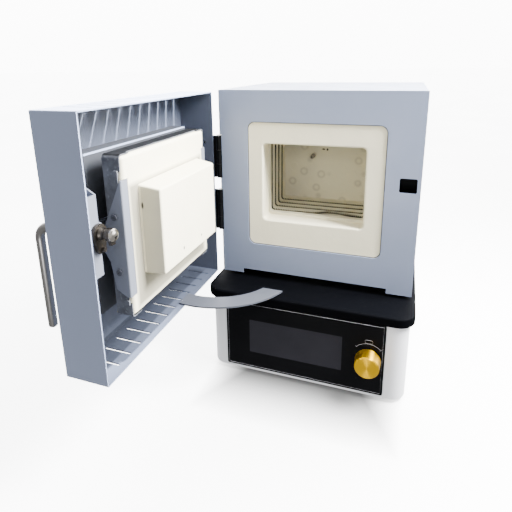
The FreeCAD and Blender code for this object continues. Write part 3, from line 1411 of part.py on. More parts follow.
PIECES = {
    "front_panel": front_panel,
    "body_casing": body_casing,
    "body_floor": body_floor,
    "support_rails": support_rails,
    "rear_cover": rear_cover,
    "ceramic_collar": ceramic_collar,
    "chamber_muffle": chamber_muffle,
    "chamber_back": chamber_back,
    "heating_wire": heating_wire,
    "insulation_jacket": insulation_jacket,
    "rear_board": rear_board,
    "thermocouple": thermocouple,
    "terminal_block": terminal_block,
    "catch_box": catch_box,
    "door_sensor": door_sensor,
    "body_hinge_leaves": body_hinge_leaves,
    "hinge_pins": hinge_pins,
    "base_top_plate": base_top_plate,
    "base_housing": base_housing,
    "base_pan": base_pan,
    "body_screws": body_screws,
    "feet": feet,
    "glass_panel": glass_panel,
    "display_window": display_window,
    "display_module": display_module,
    "controller_board": controller_board,
    "board_standoffs": board_standoffs,
    "encoder_body": encoder_body,
    "encoder_plunger": encoder_plunger,
    "encoder_stem": encoder_stem,
    "control_knob": control_knob,
    "heat_sink": heat_sink,
    "solid_state_relay": solid_state_relay,
    "power_supply": power_supply,
    "supply_leads": supply_leads,
    "wire_grommet": wire_grommet,
    "inlet_socket": inlet_socket,
    "mains_switch_frame": mains_switch_frame,
    "mains_switch_rocker": mains_switch_rocker,
    "fuse_holder": fuse_holder,
    "door_tray": door_tray,
    "door_liner": door_liner,
    "door_insulation": door_insulation,
    "arc_bar": arc_bar,
    "door_hinge_leaves": door_hinge_leaves,
    "door_hinge_screws": door_hinge_screws,
    "pivot_lugs": pivot_lugs,
    "latch_bush": latch_bush,
    "latch_bracket": latch_bracket,
    "carrier_pan": carrier_pan,
    "plug_block": plug_block,
    "carrier_arms": carrier_arms,
    "arm_screws": arm_screws,
    "pivot_pins": pivot_pins,
    "corner_clips": corner_clips,
    "handle_rod": handle_rod,
    "latch_cam": latch_cam,
    "latch_spacer": latch_spacer,
    "latch_nose": latch_nose,
    "dome_nut": dome_nut,
}

os.makedirs("parts", exist_ok=True)
for node, make in PIECES.items():
    shape = make()
    shape.translate(SHIFT)
    shape.exportStep("parts/" + node + ".step")
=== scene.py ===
import bmesh
import bpy
import math
from mathutils import Matrix, Vector


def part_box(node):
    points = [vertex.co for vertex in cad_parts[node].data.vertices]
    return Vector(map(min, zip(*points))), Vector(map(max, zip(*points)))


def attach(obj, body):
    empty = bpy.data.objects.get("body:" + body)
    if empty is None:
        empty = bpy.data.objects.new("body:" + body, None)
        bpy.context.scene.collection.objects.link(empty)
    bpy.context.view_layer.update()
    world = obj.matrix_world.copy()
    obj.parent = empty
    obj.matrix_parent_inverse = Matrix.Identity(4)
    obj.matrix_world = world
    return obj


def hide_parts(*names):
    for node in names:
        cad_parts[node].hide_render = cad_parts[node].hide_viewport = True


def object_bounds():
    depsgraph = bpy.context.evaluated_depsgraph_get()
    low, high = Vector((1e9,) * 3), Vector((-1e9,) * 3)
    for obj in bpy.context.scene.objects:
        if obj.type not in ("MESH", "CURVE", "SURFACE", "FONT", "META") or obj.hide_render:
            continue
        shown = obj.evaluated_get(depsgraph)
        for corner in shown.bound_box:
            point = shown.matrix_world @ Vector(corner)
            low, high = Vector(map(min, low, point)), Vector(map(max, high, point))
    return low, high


bl_info = {
    "name": "Glazing furnace finish",
    "version": (1, 0, 0),
    "blender": (4, 5, 0),
    "location": "3D View > Sidebar > Furnace",
    "description": "Finishes a bench glazing furnace: paint, refractory, coil, screws, print and studio",
    "category": "Object",
}

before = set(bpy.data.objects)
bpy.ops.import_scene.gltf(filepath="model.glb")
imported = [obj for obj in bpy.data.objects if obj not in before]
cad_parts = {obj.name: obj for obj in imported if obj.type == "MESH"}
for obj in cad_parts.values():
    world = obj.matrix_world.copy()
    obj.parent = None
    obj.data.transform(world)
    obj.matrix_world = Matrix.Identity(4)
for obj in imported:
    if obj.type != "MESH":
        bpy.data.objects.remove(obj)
CAD_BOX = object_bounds()
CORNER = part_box("front_panel")[0]
MM = 0.001


def spot(x, y, z):
    """A point in millimetres from the face panel's lower left front corner, as a point in the frame."""
    return CORNER + Vector((x, y, z)) * MM


# Sizes and colours that a user would change


class FurnaceColours(bpy.types.PropertyGroup):
    paint: bpy.props.FloatVectorProperty(
        name="Paint", description="Blue-grey powder coat", subtype="COLOR", default=(0.205, 0.242, 0.345)
    )
    bracket: bpy.props.FloatVectorProperty(
        name="Brackets",
        description="Pale coat of brackets and arc bar",
        subtype="COLOR",
        default=(0.15, 0.163, 0.2),
    )
    housing: bpy.props.FloatVectorProperty(
        name="Housing", description="White base housing", subtype="COLOR", default=(0.84, 0.85, 0.88)
    )
    shelf: bpy.props.FloatVectorProperty(
        name="Shelf",
        description="Black shelf and small black metal",
        subtype="COLOR",
        default=(0.0015, 0.0017, 0.0024),
    )
    refractory: bpy.props.FloatVectorProperty(
        name="Refractory", description="Cast refractory", subtype="COLOR", default=(0.87, 0.815, 0.61)
    )
    stain: bpy.props.FloatVectorProperty(
        name="Stain", description="Heat stain on the refractory", subtype="COLOR", default=(0.6, 0.55, 0.45)
    )
    glass: bpy.props.FloatVectorProperty(
        name="Glass", description="Back-painted black glass", subtype="COLOR", default=(0.005, 0.0052, 0.006)
    )
    display: bpy.props.FloatVectorProperty(
        name="Display", description="Unlit display", subtype="COLOR", default=(0.019, 0.0187, 0.024)
    )
    gold: bpy.props.FloatVectorProperty(
        name="Knob", description="Gold anodised knob", subtype="COLOR", default=(0.86, 0.5, 0.0)
    )
    # Painted shade: the liner's charcoal colour stands in for the shade in the hollow inside the door.
    liner: bpy.props.FloatVectorProperty(
        name="Liner",
        description="Charcoal liner inside the door, painted shade",
        subtype="COLOR",
        default=(0.045, 0.048, 0.056),
    )
    steel: bpy.props.FloatVectorProperty(
        name="Steel", description="Bare turned steel", subtype="COLOR", default=(0.17, 0.165, 0.16)
    )
    cam: bpy.props.FloatVectorProperty(
        name="Cam steel",
        description="Heat-browned latch steel",
        subtype="COLOR",
        default=(0.062, 0.055, 0.048),
    )
    print_ink: bpy.props.FloatVectorProperty(
        name="Print", description="Printed lines on the glass", subtype="COLOR", default=(0.42, 0.42, 0.45)
    )


class FurnaceSizes(bpy.types.PropertyGroup):
    coil_radius: bpy.props.FloatProperty(
        name="Coil radius", description="Centre line of the wound wire", unit="LENGTH", default=1.6 * MM
    )
    coil_spacing: bpy.props.FloatProperty(
        name="Coil spacing", description="Distance between turns", unit="LENGTH", default=2.4 * MM
    )
    coil_wire: bpy.props.FloatProperty(
        name="Coil wire", description="Radius of the wire itself", unit="LENGTH", default=0.58 * MM
    )
    print_width: bpy.props.FloatProperty(
        name="Print width", description="Width of the printed lines", unit="LENGTH", default=0.55 * MM
    )
    print_height: bpy.props.FloatProperty(
        name="Print height",
        description="How far print stands off the glass",
        unit="LENGTH",
        default=0.05 * MM,
    )
    border_inset: bpy.props.FloatProperty(
        name="Border inset", description="Printed border from the glass edge", unit="LENGTH", default=2.5 * MM
    )
    floor: bpy.props.FloatProperty(
        name="Floor", description="Side of the studio floor", unit="LENGTH", default=60.0
    )


class FurnaceStudio(bpy.types.PropertyGroup):
    focal: bpy.props.FloatProperty(
        name="Focal length", description="Lens in millimetres on a 36 mm sensor", default=30.62
    )
    back_light: bpy.props.FloatProperty(
        name="Backdrop", description="Strength of the white surround behind", default=13.0
    )
    front_light: bpy.props.FloatProperty(
        name="Room", description="Strength of the dimmer surround in front", default=1.45
    )
    low_light: bpy.props.FloatProperty(
        name="From below", description="Strength of the surround below the furnace", default=0.8
    )
    side_light: bpy.props.FloatProperty(
        name="Side softbox", description="Softbox on the right", unit="POWER", default=52.0
    )
    slot_light: bpy.props.FloatProperty(
        name="Slot lamp",
        description="Spot that shines through the door's top slots",
        unit="POWER",
        default=190.0,
    )
    sheen_card: bpy.props.FloatProperty(
        name="Sheen card", description="Card that only shows as a sheen on metal", unit="POWER", default=3.0
    )
    floor_glow: bpy.props.FloatProperty(
        name="Floor glow", description="Light of the lit white table", default=3.5
    )


# Materials


def math_node(tree, operation, first, second):
    """A Math node of a material, a world or a Geometry Nodes tree, on numbers or sockets."""
    node = tree.nodes.new("ShaderNodeMath")
    node.operation = operation
    for socket, value in zip(node.inputs, (first, second)):
        if isinstance(value, (int, float)):
            socket.default_value = value
        else:
            tree.links.new(value, socket)
    return node.outputs["Value"]


def new_shader(name, colour, roughness, metallic=0.0):
    """A material with its Principled shader, ready for detail."""
    material = bpy.data.materials.new(name)
    material.use_nodes = True
    shader = material.node_tree.nodes["Principled BSDF"]
    shader.inputs["Base Color"].default_value = (*colour, 1.0)
    shader.inputs["Roughness"].default_value = roughness
    shader.inputs["Metallic"].default_value = metallic
    return material, shader


def object_place(material, scale=(1, 1, 1), centre=(0, 0, 0)):
    """Object coordinates, moved to a centre and stretched."""
    nodes = material.node_tree.nodes
    place = nodes.new("ShaderNodeTexCoord")
    shift = nodes.new("ShaderNodeMapping")
    shift.vector_type = "TEXTURE"
    shift.inputs["Location"].default_value = centre
    shift.inputs["Scale"].default_value = [1.0 / s for s in scale]
    material.node_tree.links.new(place.outputs["Object"], shift.inputs["Vector"])
    return shift.outputs["Vector"]


def noise(material, scale, detail=3.0, stretch=(1, 1, 1)):
    nodes = material.node_tree.nodes
    texture = nodes.new("ShaderNodeTexNoise")
    texture.inputs["Scale"].default_value = scale
    texture.inputs["Detail"].default_value = detail
    material.node_tree.links.new(object_place(material, stretch), texture.inputs["Vector"])
    return texture.outputs["Fac"]


def ramp(material, source, low, high, low_at=0.35, high_at=0.65):
    """A two-colour ramp on a texture."""
    node = material.node_tree.nodes.new("ShaderNodeValToRGB")
    node.color_ramp.elements[0].position = low_at
    node.color_ramp.elements[0].color = (*low, 1.0)
    node.color_ramp.elements[1].position = high_at
    node.color_ramp.elements[1].color = (*high, 1.0)
    material.node_tree.links.new(source, node.inputs["Fac"])
    return node.outputs["Color"]


def shade(colour, factor):
    return tuple(min(1.0, c * factor) for c in colour)


def mottle(material, shader, colour, spread, scale, detail=4.0, low_at=0.3, high_at=0.7):
    """The base colour wanders between a darker and a lighter tone."""
    source = noise(material, scale, detail)
    result = ramp(material, source, shade(colour, 1 - spread), shade(colour, 1 + spread), low_at, high_at)
    material.node_tree.links.new(result, shader.inputs["Base Color"])
    return result


def tinted(material, shader, mask, factor):
    """Multiplies the base colour by a factor where a mask is one."""
    tree = material.node_tree
    mix = tree.nodes.new("ShaderNodeMix")
    mix.data_type = "RGBA"
    mix.blend_type = "MULTIPLY"
    tree.links.new(mask, mix.inputs["Factor"])
    tree.links.new(shader.inputs["Base Color"].links[0].from_socket, mix.inputs["A"])
    mix.inputs["B"].default_value = (factor, factor, factor, 1.0)
    tree.links.new(mix.outputs["Result"], shader.inputs["Base Color"])


def inside_box(material, low, high, edge=0.006):
    """A mask that is one inside a box of the object."""
    tree = material.node_tree
    centre = [(a + b) / 2 for a, b in zip(low, high)]
    stretch = [2 / (b - a) for a, b in zip(low, high)]
    away = tree.nodes.new("ShaderNodeVectorMath")
    away.operation = "ABSOLUTE"
    tree.links.new(object_place(material, stretch, centre), away.inputs[0])
    parts = tree.nodes.new("ShaderNodeSeparateXYZ")
    tree.links.new(away.outputs["Vector"], parts.inputs["Vector"])
    furthest = parts.outputs["X"]
    for axis in ("Y", "Z"):
        furthest = math_node(tree, "MAXIMUM", furthest, parts.outputs[axis])
    return ramp(material, furthest, (1, 1, 1), (0, 0, 0), 1.0 - edge, 1.0)


def both(material, first, second):
    """A mask that is one where two masks are."""
    return math_node(material.node_tree, "MULTIPLY", first, second)


def facing(material, axis, way=1.0):
    """A mask that is one on faces that look along an axis, or against it when way is -1."""
    tree = material.node_tree
    shape = tree.nodes.new("ShaderNodeNewGeometry")
    parts = tree.nodes.new("ShaderNodeSeparateXYZ")
    tree.links.new(shape.outputs["True Normal"], parts.inputs["Vector"])
    turned = math_node(tree, "MULTIPLY", parts.outputs[axis], way)
    return ramp(material, turned, (0, 0, 0), (1, 1, 1), 0.5, 0.8)


def outer_edge(material, low, high, radius, width):
    """A mask that is one close to the rounded outline of an upright plate."""
    tree = material.node_tree
    centre = [(a + b) / 2 for a, b in zip(low, high)]
    straight = [(b - a) / 2 - radius for a, b in zip(low, high)]
    straight[1] = 1.0  # the plate stands upright, so its thickness never counts
    value = object_place(material, (1, 0.001, 1), centre)
    steps = (("ABSOLUTE", None), ("SUBTRACT", straight), ("MAXIMUM", (0, 0, 0)), ("LENGTH", None))
    for operation, second in steps:
        node = tree.nodes.new("ShaderNodeVectorMath")
        node.operation = operation
        tree.links.new(value, node.inputs[0])
        if second:
            node.inputs[1].default_value = second
        value = node.outputs["Value" if operation == "LENGTH" else "Vector"]
    scaled = math_node(tree, "DIVIDE", value, radius)
    return ramp(
        material, scaled, (0, 0, 0), (1, 1, 1), 1 - width / radius, 1 - 0.6 * width / radius
    )


def pit(material, shader, centre, radii, colour):
    """A small dark spot at one place, from a ball-shaped mask."""
    tree = material.node_tree
    ball = tree.nodes.new("ShaderNodeTexGradient")
    ball.gradient_type = "SPHERICAL"
    place = object_place(material, [1 / (r * MM) for r in radii], centre)
    tree.links.new(place, ball.inputs["Vector"])
    overlay(material, shader, ball.outputs["Fac"], colour, 0.02, 0.5)


def overlay(material, shader, source, colour, low_at, high_at, strength=1.0):
    """Mixes a second colour over what the base colour already has, where a texture is high."""
    tree = material.node_tree
    mix = tree.nodes.new("ShaderNodeMix")
    mix.data_type = "RGBA"
    mask = ramp(material, source, (0, 0, 0), (strength,) * 3, low_at, high_at)
    tree.links.new(mask, mix.inputs["Factor"])
    tree.links.new(shader.inputs["Base Color"].links[0].from_socket, mix.inputs["A"])
    mix.inputs["B"].default_value = (*colour, 1.0)
    tree.links.new(mix.outputs["Result"], shader.inputs["Base Color"])


def vary_roughness(material, shader, low, high, scale, stretch=(1, 1, 1)):
    result = ramp(material, noise(material, scale, 4.0, stretch), (low,) * 3, (high,) * 3)
    material.node_tree.links.new(result, shader.inputs["Roughness"])


def bump(material, shader, source, strength, distance):
    """Adds a bump to the surface, on top of any bump already there."""
    tree = material.node_tree
    node = tree.nodes.new("ShaderNodeBump")
    node.inputs["Strength"].default_value = strength
    node.inputs["Distance"].default_value = distance
    tree.links.new(source, node.inputs["Height"])
    if shader.inputs["Normal"].links:
        tree.links.new(shader.inputs["Normal"].links[0].from_socket, node.inputs["Normal"])
    tree.links.new(node.outputs["Normal"], shader.inputs["Normal"])


def powder_coat(name, colour, roughness=0.5, peel=0.12, gloss=0.4):
    """Baked powder paint: slight orange peel and a little dust."""
    material, shader = new_shader(name, colour, roughness)
    mottle(material, shader, colour, 0.035, 9.0)
    vary_roughness(material, shader, roughness - 0.06, roughness + 0.06, 40.0)
    shader.inputs["Specular IOR Level"].default_value = gloss
    bump(material, shader, noise(material, 900.0, 2.0), peel, 0.0004)
    bump(material, shader, noise(material, 160.0, 2.0), peel * 0.6, 0.0006)
    return material


def faint_rings(material):
    """A mask of scattered rings, as the bosses of the heating plate leave on the wall."""
    tree = material.node_tree
    cells = tree.nodes.new("ShaderNodeTexVoronoi")
    cells.inputs["Scale"].default_value = 52.0
    cells.inputs["Randomness"].default_value = 0.6
    tree.links.new(object_place(material, (1, 0.01, 1)), cells.inputs["Vector"])
    node = tree.nodes.new("ShaderNodeValToRGB")
    steps = node.color_ramp.elements
    steps[0].position = 0.1
    steps[1].position = 0.36
    for element in (steps[0], steps[1]):
        element.color = (0, 0, 0, 1)
    steps.new(0.23).color = (1, 1, 1, 1)
    tree.links.new(cells.outputs["Distance"], node.inputs["Fac"])
    return node.outputs["Color"]


def cast_refractory(name, colour, stain, stain_from, stain_strength):
    """Cast insulating brick: pores, soft dents and heat stains."""
    material, shader = new_shader(name, colour, 0.94)
    mottle(material, shader, colour, 0.03, 22.0)
    stains = noise(material, 30.0, 6.0)
    overlay(material, shader, stains, stain, stain_from, stain_from + 0.22, stain_strength)
    overlay(material, shader, noise(material, 420.0, 3.0), stain, 0.66, 0.8, 0.45)
    bump(material, shader, noise(material, 620.0, 5.0), 0.3, 0.0006)
    bump(material, shader, noise(material, 70.0, 3.0), 0.22, 0.002)
    return material


def turned_metal(name, colour, roughness, axis_stretch, spread=0.06, grain=0.08):
    """Bare metal with a fine grain along one way."""
    material, shader = new_shader(name, colour, roughness, 1.0)
    mottle(material, shader, colour, spread, 60.0)
    vary_roughness(material, shader, roughness - 0.07, roughness + 0.08, 240.0, axis_stretch)
    bump(material, shader, noise(material, 700.0, 3.0, axis_stretch), grain, 0.0002)
    return material


def moulded_plastic(name, colour, roughness, gloss=0.2):
    material, shader = new_shader(name, colour, roughness)
    shader.inputs["Specular IOR Level"].default_value = gloss
    mottle(material, shader, colour, 0.12, 60.0)
    bump(material, shader, noise(material, 1400.0, 2.0), 0.15, 0.0002)
    return material


def mottled_sheet(name, colour):
    """Steel sheet that heat has stained grey, with pale flecks, and painted shade that darkens its upward
    faces.
    """
    material, shader = new_shader(name, colour, 0.6)
    shader.inputs["Specular IOR Level"].default_value = 0.04
    mottle(material, shader, colour, 0.35, 90.0, 6.0)
    overlay(material, shader, noise(material, 260.0, 6.0), shade(colour, 2.6), 0.56, 0.7, 0.35)
    # Painted shade: faces that look up are darkened.
    tinted(material, shader, facing(material, "Z"), 0.1)
    bump(material, shader, noise(material, 500.0, 4.0), 0.2, 0.0004)
    return material


def spun_gold(name, colour, axis_point):
    """Anodised aluminium faced on a lathe: rings about the knob's axis."""
    material, shader = new_shader(name, colour, 0.3, 1.0)
    tree = material.node_tree
    rings = tree.nodes.new("ShaderNodeTexWave")
    rings.wave_type = "RINGS"
    rings.rings_direction = "Y"
    rings.inputs["Scale"].default_value = 900.0
    rings.inputs["Distortion"].default_value = 0.6
    rings.inputs["Detail"].default_value = 2.0
    tree.links.new(object_place(material, (1, 1, 1), axis_point), rings.inputs["Vector"])
    tree.links.new(
        ramp(material, rings.outputs["Fac"], shade(colour, 0.86), colour, 0.0, 1.0),
        shader.inputs["Base Color"],
    )
    bump(material, shader, rings.outputs["Fac"], 0.25, 0.0001)
    tangent = tree.nodes.new("ShaderNodeTangent")
    tangent.direction_type = "RADIAL"
    tangent.axis = "Y"
    shader.inputs["Anisotropic"].default_value = 0.85
    shader.inputs["Anisotropic Rotation"].default_value = 0.25
    tree.links.new(tangent.outputs["Tangent"], shader.inputs["Tangent"])
    return material


def black_glass(name, colour):
    material, shader = new_shader(name, colour, 0.08)
    mottle(material, shader, colour, 0.2, 12.0)
    vary_roughness(material, shader, 0.05, 0.12, 20.0)
    shader.inputs["Specular IOR Level"].default_value = 0.02
    return material


def unlit_display(name, colour):
    """A dark display behind the glass: its dot grid just shows."""
    material, shader = new_shader(name, colour, 0.22)
    shader.inputs["Specular IOR Level"].default_value = 0.1
    tree = material.node_tree
    grid = tree.nodes.new("ShaderNodeTexChecker")
    grid.inputs["Scale"].default_value = 1400.0
    tree.links.new(object_place(material), grid.inputs["Vector"])
    tint = ramp(material, grid.outputs["Fac"], shade(colour, 0.92), shade(colour, 1.08), 0.0, 1.0)
    tree.links.new(tint, shader.inputs["Base Color"])
    overlay(material, shader, noise(material, 14.0, 2.0), shade(colour, 1.25), 0.4, 0.65, 0.7)
    return material


def give(material, *nodes):
    """Puts a material on CAD nodes."""
    for name in nodes:
        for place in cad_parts[name].material_slots:
            place.material = material


# Geometry Nodes


def new_tree(name, sizes):
    """An empty Geometry Nodes tree with a Geometry input, named size inputs and a Material input."""
    tree = bpy.data.node_groups.new(name, "GeometryNodeTree")
    tree.interface.new_socket("Geometry", in_out="INPUT", socket_type="NodeSocketGeometry")
    for label in sizes:
        tree.interface.new_socket(label, in_out="INPUT", socket_type="NodeSocketFloat")
    tree.interface.new_socket("Material", in_out="INPUT", socket_type="NodeSocketMaterial")
    tree.interface.new_socket("Geometry", in_out="OUTPUT", socket_type="NodeSocketGeometry")
    return tree, tree.nodes.new("NodeGroupInput"), tree.nodes.new("NodeGroupOutput")


def close_tree(tree, given, result, geometry):
    """Every tree ends the same way: real geometry with its material."""
    realize = tree.nodes.new("GeometryNodeRealizeInstances")
    paint = tree.nodes.new("GeometryNodeSetMaterial")
    tree.links.new(geometry, realize.inputs["Geometry"])
    tree.links.new(realize.outputs["Geometry"], paint.inputs["Geometry"])
    tree.links.new(given.outputs["Material"], paint.inputs["Material"])
    tree.links.new(paint.outputs["Geometry"], result.inputs["Geometry"])
    return tree


def scaled_vector(tree, vector, factor):
    node = tree.nodes.new("ShaderNodeVectorMath")
    node.operation = "SCALE"
    tree.links.new(vector, node.inputs[0])
    tree.links.new(factor, node.inputs["Scale"])
    return node.outputs["Vector"]


def coil_tree():
    """Winds a wire round a path."""
    tree, given, result = new_tree("wound coil", ("Coil radius", "Turn spacing", "Wire radius"))
    steps_per_turn = 9
    step = math_node(tree, "DIVIDE", given.outputs["Turn spacing"], steps_per_turn)
    soften = tree.nodes.new("GeometryNodeFilletCurve")
    soften.mode = "POLY"
    soften.inputs["Count"].default_value = 6
    soften.inputs["Radius"].default_value = 3.5 * MM
    resample = tree.nodes.new("GeometryNodeResampleCurve")
    resample.mode = "LENGTH"
    place = tree.nodes.new("GeometryNodeSetPosition")
    run = tree.nodes.new("GeometryNodeSplineParameter")
    normal = tree.nodes.new("GeometryNodeInputNormal")
    tangent = tree.nodes.new("GeometryNodeInputTangent")
    across = tree.nodes.new("ShaderNodeVectorMath")
    across.operation = "CROSS_PRODUCT"
    tree.links.new(tangent.outputs[0], across.inputs[0])
    tree.links.new(normal.outputs[0], across.inputs[1])
    turns = math_node(tree, "DIVIDE", run.outputs["Length"], given.outputs["Turn spacing"])
    angle = math_node(tree, "MULTIPLY", turns, math.tau)
    reach_a = math_node(tree, "MULTIPLY", math_node(tree, "COSINE", angle, 0.0), given.outputs["Coil radius"])
    reach_b = math_node(tree, "MULTIPLY", math_node(tree, "SINE", angle, 0.0), given.outputs["Coil radius"])
    add = tree.nodes.new("ShaderNodeVectorMath")
    add.operation = "ADD"
    tree.links.new(scaled_vector(tree, normal.outputs[0], reach_a), add.inputs[0])
    tree.links.new(scaled_vector(tree, across.outputs["Vector"], reach_b), add.inputs[1])
    tree.links.new(given.outputs["Geometry"], soften.inputs["Curve"])
    tree.links.new(soften.outputs["Curve"], resample.inputs["Curve"])
    tree.links.new(step, resample.inputs["Length"])
    tree.links.new(resample.outputs["Curve"], place.inputs["Geometry"])
    tree.links.new(add.outputs["Vector"], place.inputs["Offset"])
    ring = tree.nodes.new("GeometryNodeCurvePrimitiveCircle")
    ring.inputs["Resolution"].default_value = 4
    tree.links.new(given.outputs["Wire radius"], ring.inputs["Radius"])
    sweep = tree.nodes.new("GeometryNodeCurveToMesh")
    sweep.inputs["Fill Caps"].default_value = True
    tree.links.new(place.outputs["Geometry"], sweep.inputs["Curve"])
    tree.links.new(ring.outputs["Curve"], sweep.inputs["Profile Curve"])
    return close_tree(tree, given, result, sweep.outputs["Mesh"])


def line_tree():
    """Lays a flat printed line along a path on an upright face."""
    tree, given, result = new_tree("printed line", ("Width", "Height"))
    section = tree.nodes.new("GeometryNodeCurvePrimitiveQuadrilateral")
    tree.links.new(given.outputs["Width"], section.inputs["Width"])
    tree.links.new(given.outputs["Height"], section.inputs["Height"])
    sweep = tree.nodes.new("GeometryNodeCurveToMesh")
    sweep.inputs["Fill Caps"].default_value = True
    tree.links.new(given.outputs["Geometry"], sweep.inputs["Curve"])
    tree.links.new(section.outputs["Curve"], sweep.inputs["Profile Curve"])
    return close_tree(tree, given, result, sweep.outputs["Mesh"])


def screw_tree():
    """Stands a screw head on every point, facing the way that the point's own vector says."""
    tree, given, result = new_tree("screw heads", ("Head radius", "Head height"))
    head = tree.nodes.new("GeometryNodeMeshCylinder")
    head.inputs["Vertices"].default_value = 24
    tree.links.new(given.outputs["Head radius"], head.inputs["Radius"])
    tree.links.new(given.outputs["Head height"], head.inputs["Depth"])
    lift = tree.nodes.new("GeometryNodeTransform")
    rise = tree.nodes.new("ShaderNodeCombineXYZ")
    half = math_node(tree, "MULTIPLY", given.outputs["Head height"], 0.5)
    tree.links.new(half, rise.inputs["Z"])
    tree.links.new(head.outputs["Mesh"], lift.inputs["Geometry"])
    tree.links.new(rise.outputs["Vector"], lift.inputs["Translation"])
    cut = tree.nodes.new("GeometryNodeMeshBoolean")
    cut.operation = "DIFFERENCE"
    cut.solver = "EXACT"
    socket = tree.nodes.new("GeometryNodeMeshCylinder")
    socket.inputs["Vertices"].default_value = 6
    tree.links.new(math_node(tree, "MULTIPLY", given.outputs["Head radius"], 0.46), socket.inputs["Radius"])
    tree.links.new(given.outputs["Head height"], socket.inputs["Depth"])
    raised = tree.nodes.new("GeometryNodeTransform")
    top = tree.nodes.new("ShaderNodeCombineXYZ")
    tree.links.new(given.outputs["Head height"], top.inputs["Z"])
    tree.links.new(socket.outputs["Mesh"], raised.inputs["Geometry"])
    tree.links.new(top.outputs["Vector"], raised.inputs["Translation"])
    tree.links.new(lift.outputs["Geometry"], cut.inputs["Mesh 1"])
    tree.links.new(raised.outputs["Geometry"], cut.inputs["Mesh 2"])
    facing = tree.nodes.new("GeometryNodeInputNamedAttribute")
    facing.data_type = "FLOAT_VECTOR"
    facing.inputs["Name"].default_value = "facing"
    turn = tree.nodes.new("FunctionNodeAlignRotationToVector")
    turn.axis = "Z"
    tree.links.new(facing.outputs["Attribute"], turn.inputs["Vector"])
    scatter = tree.nodes.new("GeometryNodeInstanceOnPoints")
    tree.links.new(given.outputs["Geometry"], scatter.inputs["Points"])
    tree.links.new(cut.outputs["Mesh"], scatter.inputs["Instance"])
    tree.links.new(turn.outputs["Rotation"], scatter.inputs["Rotation"])
    return close_tree(tree, given, result, scatter.outputs["Instances"])


def grown(name, source, tree, values, material):
    """Runs a tree on a source object and keeps the result as a plain mesh at the origin."""
    modifier = source.modifiers.new("grow", "NODES")
    modifier.node_group = tree
    for item in tree.interface.items_tree:
        if item.in_out == "INPUT" and item.name in values:
            modifier[item.identifier] = values[item.name]
        if item.in_out == "INPUT" and item.name == "Material":
            modifier[item.identifier] = material
    bpy.context.view_layer.update()
    evaluated = source.evaluated_get(bpy.context.evaluated_depsgraph_get())
    mesh = bpy.data.meshes.new_from_object(evaluated)
    if not mesh.polygons:
        raise RuntimeError(name + " came out empty")
    piece = bpy.data.objects.new(name, mesh)
    bpy.context.collection.objects.link(piece)
    bpy.data.objects.remove(source)
    return piece


def path_object(runs):
    """A curve object with one polyline for each run: (points, closed)."""
    curve = bpy.data.curves.new("path", "CURVE")
    curve.dimensions = "3D"
    curve.twist_mode = "MINIMUM"
    for points, closed in runs:
        spline = curve.splines.new("POLY")
        spline.points.add(len(points) - 1)
        for target, point in zip(spline.points, points):
            target.co = (*point, 1.0)
        spline.use_cyclic_u = closed
    source = bpy.data.objects.new("path", curve)
    bpy.context.collection.objects.link(source)
    return source


def joined_mesh(name, pieces):
    """Joins plain mesh objects into one."""
    whole = bmesh.new()
    materials = []
    for piece in pieces:
        first = len(whole.faces)
        whole.from_mesh(piece.data)
        whole.faces.ensure_lookup_table()
        material = piece.data.materials[0]
        if material not in materials:
            materials.append(material)
        for face in whole.faces[first:]:
            face.material_index = materials.index(material)
    mesh = bpy.data.meshes.new(name)
    whole.to_mesh(mesh)
    whole.free()
    for material in materials:
        mesh.materials.append(material)
    for piece in pieces:
        bpy.data.objects.remove(piece)
    result = bpy.data.objects.new(name, mesh)
    bpy.context.collection.objects.link(result)
    return result


def islands(node):
    """The lowest and highest corners of each separate solid in a CAD node."""
    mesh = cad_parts[node].data
    key = [tuple(round(c, 6) for c in vertex.co) for vertex in mesh.vertices]
    parent = {k: k for k in key}

    def top(k):
        while parent[k] != k:
            parent[k] = parent[parent[k]]
            k = parent[k]
        return k

    for polygon in mesh.polygons:
        first = top(key[polygon.vertices[0]])
        for index in polygon.vertices[1:]:
            parent[top(key[index])] = first
    boxes = {}
    for k in parent:
        low, high = boxes.setdefault(top(k), (Vector(k), Vector(k)))
        for axis in range(3):
            low[axis] = min(low[axis], k[axis])
            high[axis] = max(high[axis], k[axis])
    return list(boxes.values())


def dress_screws(node, body, material, centre):
    """Replaces a node of plain screws by screws with socket heads, at the same places."""
    head_radius = 3.0 * MM
    head_height = 1.7 * MM
    mesh = bpy.data.meshes.new("screw points")
    points, ways = [], []
    for low, high in islands(node):
        size = high - low
        middle = (low + high) / 2
        axis = max(range(3), key=lambda a: abs(size[a] - 2 * head_radius))
        way = Vector((0, 0, 0))
        way[axis] = 1.0 if middle[axis] > centre[axis] else -1.0
        point = middle.copy()
        outer = high[axis] if way[axis] > 0 else low[axis]
        point[axis] = outer - way[axis] * head_height
        points.append(point)
        ways.append(way)
    mesh.from_pydata(points, [], [])
    attribute = mesh.attributes.new("facing", "FLOAT_VECTOR", "POINT")
    for item, way in zip(attribute.data, ways):
        item.vector = way
    source = bpy.data.objects.new("screw points", mesh)
    bpy.context.collection.objects.link(source)
    piece = grown(
        node.replace("_screws", "_socket_screws"),
        source,
        screw_tree(),
        {"Head radius": head_radius, "Head height": head_height},
        material,
    )
    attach(piece, body)
    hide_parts(node)


# Operators


